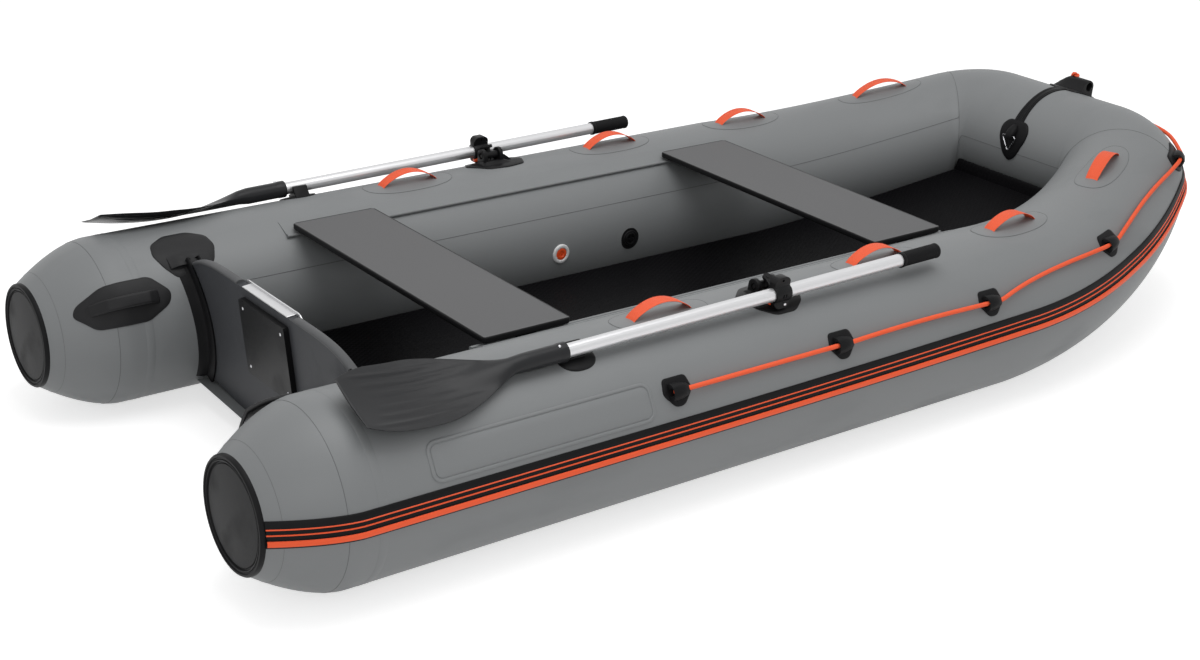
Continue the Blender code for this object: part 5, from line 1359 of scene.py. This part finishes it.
def lifeline_route():
    """Through every fitting, and up over the tube between those on the bow."""
    route = []
    stations = [*FITTING_STATIONS, HALF_RUN]
    angles = [*FITTING_ANGLES, FITTING_ANGLES[-1]]
    for index, climb in enumerate(ROPE_CLIMB):
        here, there = stations[index:index + 2]
        angle, turn = angles[index], angles[index + 1] - angles[index]
        last = there == HALF_RUN
        hole = seat_frame(here, angle)
        for along in (-ROPE_STRAIGHT if index else -ROPE_TAIL, 0.0, ROPE_STRAIGHT):
            route.append(hole @ Vector((along, 0, ROPE_LIFT)))
        start = here + ROPE_STRAIGHT
        end = there if last else there - ROPE_STRAIGHT
        count = max(2, round((end - start) / ROPE_STEP))
        for share in spaced(0, 1, count)[1:-1]:
            ease = math.sin(math.pi * (share / 2 if last else share))
            lift = ROPE_LIFT + (ROPE_SLACK_LIFT - ROPE_LIFT) * ease ** 0.5
            route.append(hull_point(start + (end - start) * share,
                                    angle + turn * share - climb * ease, lift))
    route.append(hull_point(HALF_RUN, FITTING_ANGLES[-1], ROPE_SLACK_LIFT))
    return route + [MIRROR @ point for point in reversed(route[:-1])]


def add_lifeline():
    """The plaited grab rope, held by every fitting round the bow."""
    rings = along_path(smooth_path(lifeline_route(), 0.0021), braid_section(ROPE_RADIUS + 0.0002))
    add_piece("grab_rope", closed_skin(rings), "rope", nodes=["lifeline"], smooth=60)


def add_carry_handle():
    """A moulded grip on a long pad at the stern."""
    length, width = CARRY_LENGTH / 2, CARRY_WIDTH / 2
    corners = [(length, 0.12 * width), (0.62 * length, width), (-0.40 * length, width),
               (-0.92 * length, 0.45 * width), (-length, -0.10 * width),
               (-0.62 * length, -width), (0.42 * length, -width), (0.92 * length, -0.40 * width)]
    outline = rounded_polygon(corners, 0.016)
    base, place = low_pad(CARRY_STATION, -CARRY_ANGLE, outline, 0.0035, 0.0025)
    inverse = place.inverted()
    half = CARRY_GRIP_SPAN / 2
    section = rounded_outline(CARRY_GRIP_WIDTH, 0.0135, 0.0058, 5)
    rings = []
    for share in spaced(-1, 1, 40):
        height = CARRY_GRIP_HEIGHT * (1 - max(0.0, abs(share) - 0.6) / 0.4) ** 0.6 - 0.004
        swell = 1 + 0.16 * max(0.0, abs(share) - 0.55) / 0.45
        rings.append([inverse @ hull_point(CARRY_STATION + share * half,
                                           -CARRY_ANGLE + v * swell / TUBE_RADIUS,
                                           max(height, 0.001) - 0.006 + w) for v, w in section])
    add_piece("carry_grip_port", combined(base, [closed_skin(rings)]), "soft_rubber",
              place=place, nodes=["carry_handle_port"], twin=True)


def add_bow_fitting():
    """Fitting on the bow with a cross bore."""
    corners = [(0.097, 0.0), (0.052, 0.060), (-0.052, 0.060), (-0.097, 0.0), (-0.052, -0.060),
               (0.052, -0.060)]
    base, place = low_pad(HALF_RUN, BOW_FITTING_ANGLE, rounded_polygon(corners, 0.020), 0.004,
                          0.002)
    outer = BOW_BORE_RADIUS + BOW_BORE_WALL
    rings = []
    for along, tall, shrink in ((-0.060, 0.25, 1.0), (-0.052, 0.50, 1.0), (-0.036, 0.82, 1.0),
                                (-0.022, 1.0, 1.0), (0.010, 1.0, 1.0), (0.054, 1.0, 1.0),
                                (0.0565, 0.985, 0.985)):
        ring = [Vector((along, -0.037, -0.003)), Vector((along, 0.037, -0.003))]
        for turn in spaced(math.radians(10), math.radians(170), 18):
            ring.append(Vector((along, outer * shrink * math.cos(turn),
                                (BOW_BORE_HEIGHT + outer * shrink * math.sin(turn)) * tall)))
        rings.append(ring)
    mouth = BOW_BORE_RADIUS + 0.003
    hole = moved(turned(((0, -0.10), (BOW_BORE_RADIUS, -0.10), (BOW_BORE_RADIUS, 0.052),
                         (mouth, 0.058), (mouth, 0.10), (0, 0.10)), 40, "X"),
                 Matrix.Translation((0, 0, BOW_BORE_HEIGHT)))
    pocket = moved(prism(rounded_outline(0.030, 0.020, 0.005, 4), -0.006, 0.05, "Y"),
                   Matrix.Translation((0.012, 0.030, 0.012)))
    eye = combined(combined(base, [closed_skin(rings)]), [hole, pocket], "DIFFERENCE")
    add_piece("bow_eye", eye, "black_plastic", place=place, nodes=["bow_fitting"])
    add_bow_knot(place @ Matrix.Translation((-0.018, 0.001, BOW_BORE_HEIGHT + outer + 0.0035)))


def add_bow_knot(place):
    """A trefoil of thin line made fast on the bow fitting."""
    size = 0.0036
    knot = [Vector((size * (math.sin(turn) + 2 * math.sin(2 * turn)),
                    size * (math.cos(turn) - 2 * math.cos(2 * turn)),
                    -0.0044 * math.sin(3 * turn))) for turn in full_turn(90)]
    add_piece("bow_knot", ring_of(knot, braid_section(0.0045, 16, 0.012)), "rope", place=place)


def add_bow_strap():
    """Strap from the bow fitting down to its shield, with two stitched ridges."""
    start = BOW_FITTING_ANGLE - 0.050 / BOW_RADIUS
    end = -SHIELD_ANGLE + 0.030 / BOW_RADIUS
    place = seat_frame(HALF_RUN, -SHIELD_ANGLE)
    inverse = place.inverted()
    near_side = [(-1.0, -0.002), (-1.0, 0.0016), (-0.92, 0.0030), (-0.62, 0.0032),
                 (-0.55, 0.0044), (-0.42, 0.0044), (-0.35, 0.0032)]
    section = near_side + [(-side, lift) for side, lift in reversed(near_side)]
    rings = []
    for share in spaced(0, 1, 44):
        angle = start + (end - start) * share
        half = STRAP_WIDTH / 2 * (1 + 0.10 * math.cos(2 * math.pi * share))
        rings.append([inverse @ hull_point(HALF_RUN + side * half, angle, lift)
                      for side, lift in section])
    add_piece("bow_strap_band", closed_skin(rings), "black_rubber", place=place,
              nodes=["bow_strap"])


def add_shield():
    """The strap's shield, with a hood that holds the towing ring."""
    corners = [(0.0, -0.072), (0.026, -0.052), (0.054, 0.006), (0.056, 0.040), (0.036, 0.066),
               (-0.036, 0.066), (-0.056, 0.040), (-0.054, 0.006), (-0.026, -0.052)]
    base, place = low_pad(HALF_RUN, -SHIELD_ANGLE, rounded_polygon(corners, 0.014), 0.0040,
                          0.0040)
    rings = []
    for y, half, height in ((0.050, 0.008, 0.006), (0.042, 0.013, 0.013), (0.032, 0.0165, 0.021),
                            (0.020, 0.0175, 0.0275), (0.008, 0.0165, 0.0285),
                            (0.001, 0.0150, 0.0255)):
        rings.append([Vector((half * blunt(math.cos(turn), 0.6), y,
                              height * blunt(math.sin(turn), 0.7)))
                      for turn in spaced(-0.1 * math.pi, 1.1 * math.pi, 20)])
    wire_hole = moved(rod(RING_WIRE + 0.0006, -0.03, 0.03, 20, "X"),
                      Matrix.Translation((0, 0.012, RING_EYE_HEIGHT)))
    shield = combined(combined(base, [closed_skin(rings)]), [wire_hole], "DIFFERENCE")
    add_piece("strap_shield", shield, "black_rubber", place=place)


def dress_towing_ring():
    """Steel finish and a rounder wire for the ring."""
    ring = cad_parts["towing_ring"]
    ring.data.materials[0] = FINISHES["ring_steel"]
    smoothing = ring.modifiers.new("round_wire", "SUBSURF")
    smoothing.levels = 1
    smoothing.render_levels = 1


# Valves

def add_relief_valve():
    """White ring with an orange centre that presses in."""
    place = seat_frame(RELIEF_STATION, -math.pi / 2)
    ring = turned(((0.0187, -0.006), (0.0187, 0.0030), (0.0200, 0.0042), (0.0225, 0.0046),
                   (0.0265, 0.0042), (0.0288, 0.0030), (0.0300, 0.0008), (0.0300, -0.006)), 64)
    add_piece("relief_ring", ring, "white_plastic", place=place, nodes=["relief_valve"])
    button = turned(((0, 0.0022), (0.0085, 0.0022), (0.0095, 0.0034), (0.0110, 0.0036),
                     (0.0168, 0.0034), (0.0180, 0.0024), (0.0184, -0.004), (0.006, -0.006),
                     (0, -0.006)), 48)
    slots = [moved(prism(rounded_outline(0.012, 0.0022, 0.0009, 3), 0.0010, 0.006),
                   Matrix.Rotation(math.radians(turn), 4, "Z")) for turn in (25, 115)]
    add_piece("relief_button", combined(button, slots, "DIFFERENCE"), "orange_plastic",
              body="relief_plunger", place=place, nodes=["relief_plunger"])


def add_air_valve():
    """Black filling valve with a barred knob."""
    place = seat_frame(AIR_VALVE_STATION, -math.pi / 2)
    seat = turned(((0.0208, -0.012), (0.0208, 0.0030), (0.0216, 0.0040), (0.0245, 0.0040),
                   (0.0262, 0.0026), (0.0272, 0.0008), (0.0330, 0.0006), (0.0340, -0.002)), 56)
    add_piece("air_valve_seat", seat, "black_rubber", place=place)
    cap = turned(((0, 0.0008), (0.0128, 0.0008), (0.0142, 0.0050), (0.0160, 0.0056),
                  (0.0190, 0.0054), (0.0203, 0.0042), (0.0205, -0.010), (0, -0.010)), 48)
    bars = [moved(prism(rounded_outline(0.027, 0.0055, 0.0012, 3), -0.001, 0.0045, edge=0.0006),
                  Matrix.Rotation(turn, 4, "Z")) for turn in (0.0, math.pi / 2)]
    add_piece("air_valve_knob", combined(cap, bars), "black_plastic", body="air_valve_cap",
              place=place, nodes=["air_valve_cap"])


# Oars

def oar_frames():
    """The barrel's frame on the tube, and the same frame leaned to the oar's pin."""
    barrel = Matrix.Translation(hull_point(OARLOCK_STATION, OARLOCK_ANGLE, BARREL_LIFT))
    return barrel, barrel @ Matrix.Rotation(-PIN_TILT, 4, "X")


def shaft_frame():
    """The stowed shaft's frame: X along it to the grip, from the oarlock."""
    place = oar_frames()[0] @ Matrix.Translation((0, SHAFT_OFFSET, -SHAFT_DROP))
    return place @ Matrix.Rotation(-SHAFT_SLOPE, 4, "Y")


def oarlock_body():
    """The moulded block that rises from its wide foot to carry the horns."""
    foot_fore, foot_aft, foot_side = 0.080, 0.050, 0.042
    rings = []
    for share in spaced(0, 1, 6):
        ease = share ** 0.7
        fore = foot_fore + (HORN_OUTER + 0.004 - foot_fore) * ease
        aft = foot_aft + (HORN_OUTER - foot_aft) * ease
        side = foot_side + (HORN_RADIUS - foot_side) * ease
        level = BODY_FOOT + (-BODY_TOP - BODY_FOOT) * share
        rings.append([Vector((x + (fore - aft) / 2, y, level))
                      for x, y in rounded_outline(fore + aft, 2 * side, 0.010, 4)])
    return closed_skin(rings)


def oarlock_horns():
    """The two arched horns, and the web that stiffens the forward one."""
    arch = [(-HORN_RADIUS, -BODY_TOP - 0.006), (HORN_RADIUS, -BODY_TOP - 0.006)]
    arch += [(HORN_RADIUS * math.cos(turn), HORN_RADIUS * math.sin(turn))
             for turn in spaced(0, math.pi, 20)]
    web = [(0.030, BODY_FOOT + 0.002), (0.079, BODY_FOOT + 0.001), (HORN_OUTER + 0.0005, 0.006),
           (HORN_OUTER - 0.004, 0.006)]
    return [prism(arch, HORN_INNER, HORN_OUTER, "X", 0.0014),
            prism(arch, -HORN_OUTER, -HORN_INNER, "X", 0.0014),
            prism(web, -0.0045, 0.0045, "Y", 0.001)]


def add_oarlock():
    """Glued base with two horns, and the barrel that tips between them."""
    barrel_place = oar_frames()[0]
    lean = barrel_place @ Matrix.Rotation(-OARLOCK_ANGLE, 4, "X")
    corners = [(0.098, 0.0), (0.074, 0.060), (0.034, 0.088), (-0.030, 0.088), (-0.072, 0.056),
               (-0.098, 0.006), (-0.098, -0.006), (-0.050, -0.050), (0.020, -0.058),
               (0.078, -0.050)]
    base, place = low_pad(OARLOCK_STATION + 0.012, OARLOCK_ANGLE,
                          rounded_polygon(corners, 0.014), 0.0030, 0.0015)
    to_base = place.inverted() @ lean
    body = moved(oarlock_body(), to_base)
    fore, aft, web = [moved(part, to_base) for part in oarlock_horns()]
    head, pin = 0.0098, 0.0062
    socket = moved(turned(((0, -HORN_OUTER - 0.01), (head, -HORN_OUTER - 0.01),
                           (head, -HORN_OUTER + 0.007), (pin, -HORN_OUTER + 0.007),
                           (pin, 0.05), (0, 0.05)), 32, "X"),
                   place.inverted() @ barrel_place)
    horns = combined(combined(fore, [aft, web]), [socket], "DIFFERENCE")
    add_piece("oarlock_horns_port", together(base, body, horns), "black_plastic", place=place,
              nodes=["oarlock_base_port"], twin=True, smooth=35)
    end, rim, pin = BARREL_LENGTH / 2, BARREL_RADIUS - 0.001, 0.006
    profile = ((0, -HORN_OUTER + 0.0015), (0.0055, -HORN_OUTER + 0.0010),
               (pin, -HORN_OUTER + 0.0015), (pin, -end), (rim, -end),
               (BARREL_RADIUS, -end + 0.001), (BARREL_RADIUS, end - 0.001), (rim, end),
               (pin, end), (pin, HORN_OUTER - 0.0015), (0, HORN_OUTER - 0.001))
    add_piece("oarlock_roller_port", turned(profile, 40, "X"), "black_plastic",
              body="barrel_port", place=barrel_place, nodes=["oarlock_barrel_port"], twin=True)


def clamp_block():
    """The clamp's body: an ear above and below, and round cheeks beside the shaft."""
    ear = CLAMP_EAR / 2
    cheek = [(CLAMP_RADIUS * math.cos(turn), CLAMP_RADIUS * math.sin(turn))
             for turn in spaced(math.radians(62), math.radians(-62), 14)]
    outboard = [(ear, CLAMP_UP)] + cheek + [(ear, -CLAMP_DOWN)]
    outline = outboard + [(-y, z) for y, z in reversed(outboard)]
    block = prism(outline, -CLAMP_LENGTH / 2, CLAMP_LENGTH / 2, "X", 0.0014)
    middle = (CLAMP_UP - CLAMP_DOWN) / 2
    face = [(x, z + middle) for x, z in rounded_outline(CLAMP_LENGTH, CLAMP_UP + CLAMP_DOWN,
                                                        0.018, 8)]
    return combined(block, [prism(face, -0.04, 0.04, "Y")], "INTERSECT")


def clamp_arm(reach):
    """The arm from the shaft to the barrel, with its round eye and the stud under it."""
    low, high = CLAMP_ARM_LOW, CLAMP_ARM_HIGH
    arm = prism([(-0.011, 0.0), (0.011, 0.0), (0.014, reach - 0.012), (-0.014, reach - 0.012)],
                low, high, "Z", 0.0012)
    eye = turned(((0, low), (0.0125, low), (0.013, low + 0.001), (0.013, high - 0.001),
                  (0.0125, high), (0.006, high), (0.0055, high + 0.0012), (0, high + 0.0012)), 36)
    stud = rod(0.0045, -BARREL_RADIUS - 0.003, low + 0.002, 24)
    return [arm, eye, stud]


def clamp_openings():
    """The shaft's bore, the upper ear's hole and two slanted slots in the face."""
    openings = [rod(SHAFT_RADIUS + 0.0003, -0.05, 0.05, 56, "X"),
                moved(rod(0.0036, -0.03, 0.03, 24, "Y"),
                      Matrix.Translation((0, 0, CLAMP_UP - 0.009)))]
    for x in (-0.0045, 0.0045):
        slot = prism(rounded_outline(0.0042, 0.0095, 0.0018, 4), 0.0195, 0.03, "Y")
        openings.append(moved(slot, Matrix.Translation((x, 0, -0.002))
                              @ Matrix.Rotation(math.radians(12), 4, "Y")))
    return openings


def add_oar_clamp():
    """Two-eared clamp round the shaft, with its arm, screw and orange liner."""
    clamp_place = oar_frames()[1]
    shaft = shaft_frame()
    into_shaft = shaft.inverted() @ clamp_place
    reach = (clamp_place.inverted() @ shaft).translation.y
    arm = [moved(part, into_shaft) for part in clamp_arm(reach)]
    clamp = combined(combined(clamp_block(), arm), clamp_openings(), "DIFFERENCE")
    add_piece("shaft_clamp_port", clamp, "black_plastic", body="oar_port", place=shaft,
              nodes=["oar_clamp_port"], twin=True, smooth=35)
    screw = turned(((0, 0.0026), (0.0026, 0.0024), (0.0042, 0.0012), (0.0046, 0.0),
                    (0.0046, -0.002), (0, -0.002)), 28, "Y")
    bolt = moved(screw, Matrix.Translation((0.008, CLAMP_EAR / 2, -CLAMP_DOWN + 0.0095)))
    add_piece("clamp_screw_port", bolt, "ring_steel", body="oar_port", place=shaft, twin=True)
    liner = prism(rounded_outline(0.012, 0.010, 0.003, 4), -0.026, 0.019, "X", 0.001)
    add_piece("clamp_liner_port", moved(liner, Matrix.Translation((0, -0.010, -0.0245))),
              "orange_plastic", body="oar_port", place=shaft, twin=True)


def add_shaft():
    """Aluminium tube with faint drawn flutes."""
    ends = (-SHAFT_AFT - 0.070, SHAFT_FORE + GRIP_LENGTH - 0.009)
    section = []
    for turn in full_turn(96):
        reach = SHAFT_RADIUS - 0.00022 * max(0.0, math.cos(8 * turn)) ** 6
        section.append((reach * math.cos(turn), reach * math.sin(turn)))
    rings = [[Vector((x, y, z)) for y, z in section]
             for x in [ends[0]] + spaced(-SHAFT_AFT, SHAFT_FORE, 24) + [ends[1]]]
    add_piece("shaft_tube_port", closed_skin(rings), "aluminium", body="oar_port",
              place=shaft_frame(), nodes=["oar_shaft_port"], twin=True)


def add_grip():
    """The ribbed grip, with a collar at each end."""
    start, end = SHAFT_FORE, SHAFT_FORE + GRIP_LENGTH
    profile = [(0, start + 0.002), (SHAFT_RADIUS - 0.001, start + 0.002),
               (SHAFT_RADIUS + 0.0006, start), (GRIP_RADIUS + 0.0012, start + 0.0006),
               (GRIP_RADIUS + 0.0016, start + 0.002), (GRIP_RADIUS + 0.0016, start + 0.009),
               (GRIP_RADIUS, start + 0.011)]
    valley, crest = GRIP_RADIUS - 0.0004, GRIP_RADIUS + 0.0004
    for rib in range(GRIP_RIBS):
        foot = start + 0.014 + rib * GRIP_RIB_PITCH
        profile += [(valley, foot), (crest, foot + 0.0010), (crest, foot + 0.0026),
                    (valley, foot + 0.0036)]
    profile += [(GRIP_RADIUS + 0.001, end - 0.0085), (GRIP_RADIUS + 0.001, end - 0.004),
                (GRIP_RADIUS - 0.001, end - 0.0012), (GRIP_RADIUS - 0.004, end), (0, end)]
    add_piece("hand_grip_port", turned(profile, 48, "X"), "black_rubber", body="oar_port",
              place=shaft_frame(), nodes=["oar_grip_port"], twin=True)


def blade_width(share):
    """Half the blade's width at a share of its length from the socket's mouth."""
    if share < BLADE_NECK:
        return SOCKET_RADIUS
    swell = math.sin(min((share - BLADE_NECK) / 0.44, 1.0) * math.pi / 2) ** 1.2
    tip = max(0.0, (share - 0.82) / 0.18) ** 2
    return (SOCKET_RADIUS + (BLADE_HALF_WIDTH - SOCKET_RADIUS) * swell
            - (BLADE_HALF_WIDTH - BLADE_TIP_HALF_WIDTH) * tip)


def blade_rib(share, y):
    """Height of the moulded ribs that run down the blade."""
    height = 0.0
    for where, start, end, rise in ((0.022, 0.46, 0.90, 0.0034), (0.050, 0.42, 0.92, 0.0040),
                                    (0.078, 0.52, 0.96, 0.0032)):
        fade = math.sin(math.pi * clamped((share - start) / (end - start))) ** 0.6
        spread = where * (0.82 + 0.18 * share)
        height += rise * fade * math.exp(-((abs(y) - spread) / 0.0042) ** 2)
    return height


def blade_ring(share):
    """The blade's section: a round socket that flattens into a scooped, ribbed blade."""
    flat = clamped((share - 0.20) / 0.45)
    spine = SOCKET_RADIUS * (1 - flat) ** 1.5
    collar = 0.0012 if share < 0.035 else 0.0
    width = blade_width(share) + collar
    dip = -BLADE_DIP * math.sin(clamped((share - 0.25) / 0.75) * math.pi)
    curl = (BLADE_CURL - BLADE_DIP) * max(0.0, (share - 0.55) / 0.45) ** 2
    edge = BLADE_EDGE / 2 * (0.35 if share > 0.999 else 0.75 if share > 0.994 else 1.0)
    ring = []
    for turn in full_turn(BLADE_SIDES):
        y = width * math.cos(turn)
        ridge = spine * math.exp(-(y / (1.1 * SOCKET_RADIUS)) ** 2 * flat) + collar
        hollow = 0.010 * flat * (y / BLADE_HALF_WIDTH) ** 2
        squarish = blunt(math.sin(turn), 1 - 0.6 * flat)
        thick = max(ridge, edge) * (squarish if ridge < edge * 1.5 else math.sin(turn))
        ring.append(Vector((SOCKET_MOUTH - share * BLADE_LENGTH, y,
                            dip + curl + hollow + thick + blade_rib(share, y) * flat)))
    return ring


def add_blade():
    """The oar's blade on its socket, bored for the shaft and the snap button."""
    place = shaft_frame() @ Matrix.Rotation(-BLADE_TILT, 4, "X")
    shares = [0.0, 0.004, 0.012, 0.03, 0.04, 0.05] + spaced(0.08, 0.992, 70) + [0.997, 1.0]
    blade = closed_skin([blade_ring(share) for share in shares])
    bore = rod(SHAFT_RADIUS + 0.0003, SOCKET_MOUTH - 0.074, SOCKET_MOUTH + 0.01, 56, "X")
    to_button = Matrix.Translation((SOCKET_MOUTH - BUTTON_BACK, 0, 0))
    button_hole = moved(rod(0.0046, 0.004, 0.04, 24), to_button)
    add_piece("oar_spoon_port", combined(blade, [bore, button_hole], "DIFFERENCE"),
              "blade_plastic", body="oar_port", place=place, nodes=["oar_blade_port"],
              twin=True, smooth=50)
    top = SOCKET_RADIUS + 0.0045
    button = turned(((0, 0.012), (0.0036, 0.012), (0.0038, 0.013), (0.0038, top - 0.0022),
                     (0.0032, top - 0.0009), (0.0020, top - 0.0002), (0, top)), 28)
    add_piece("snap_button_port", button, "ring_steel", body="button_port",
              place=place @ to_button, nodes=["oar_button_port"], twin=True)


def add_oar_rest():
    """A glued saddle that the stowed shaft lies on."""
    centre = shaft_frame() @ Vector((REST_STATION - OARLOCK_STATION, 0, 0))
    tube_centre = centreline(REST_STATION)[0]
    angle = math.atan2(centre.y - tube_centre.y, centre.z - tube_centre.z)
    base, place = low_pad(REST_STATION, angle, oval_outline(0.105, 0.084, 2.3), 0.003, 0.002)
    lean = Matrix.Translation(centre) @ Matrix.Rotation(-PIN_TILT, 4, "X")
    top, wall, foot = -SHAFT_RADIUS - 0.0003, -SHAFT_RADIUS - 0.0025, -SHAFT_RADIUS - 0.020
    outline = [(0.013, foot), (0.013, top - 0.002), (0.010, top - 0.0005), (wall, top - 0.0005),
               (wall, -0.006), (wall - 0.004, -0.002), (wall - 0.009, -0.006),
               (wall - 0.012, foot)]
    saddle = moved(prism(outline, -0.022, 0.022, "X", 0.0010), place.inverted() @ lean)
    add_piece("rest_saddle_port", combined(base, [saddle]), "black_plastic", place=place,
              nodes=["oar_rest_port"], twin=True, smooth=35)


def build():
    """Camera and studio, finishes, then the boat from its hull to its oars."""
    add_camera()
    add_studio()
    build_finishes()
    for make in (add_tube_skin, add_seams, add_name_plate, add_end_caps, add_strake, add_deck,
                 add_bottom, dress_transom, add_transom_trim, add_pad_screws,
                 add_transom_channel, add_holder_cap, add_seats, add_seat_track,
                 add_grab_handles, add_lifeline_fittings, add_lifeline, add_carry_handle,
                 add_bow_fitting, add_bow_strap, add_shield, dress_towing_ring,
                 add_relief_valve, add_air_valve, add_oarlock, add_oar_clamp, add_shaft,
                 add_grip, add_blade, add_oar_rest):
        make()
    bpy.context.scene.view_settings.view_transform = "Standard"


build()
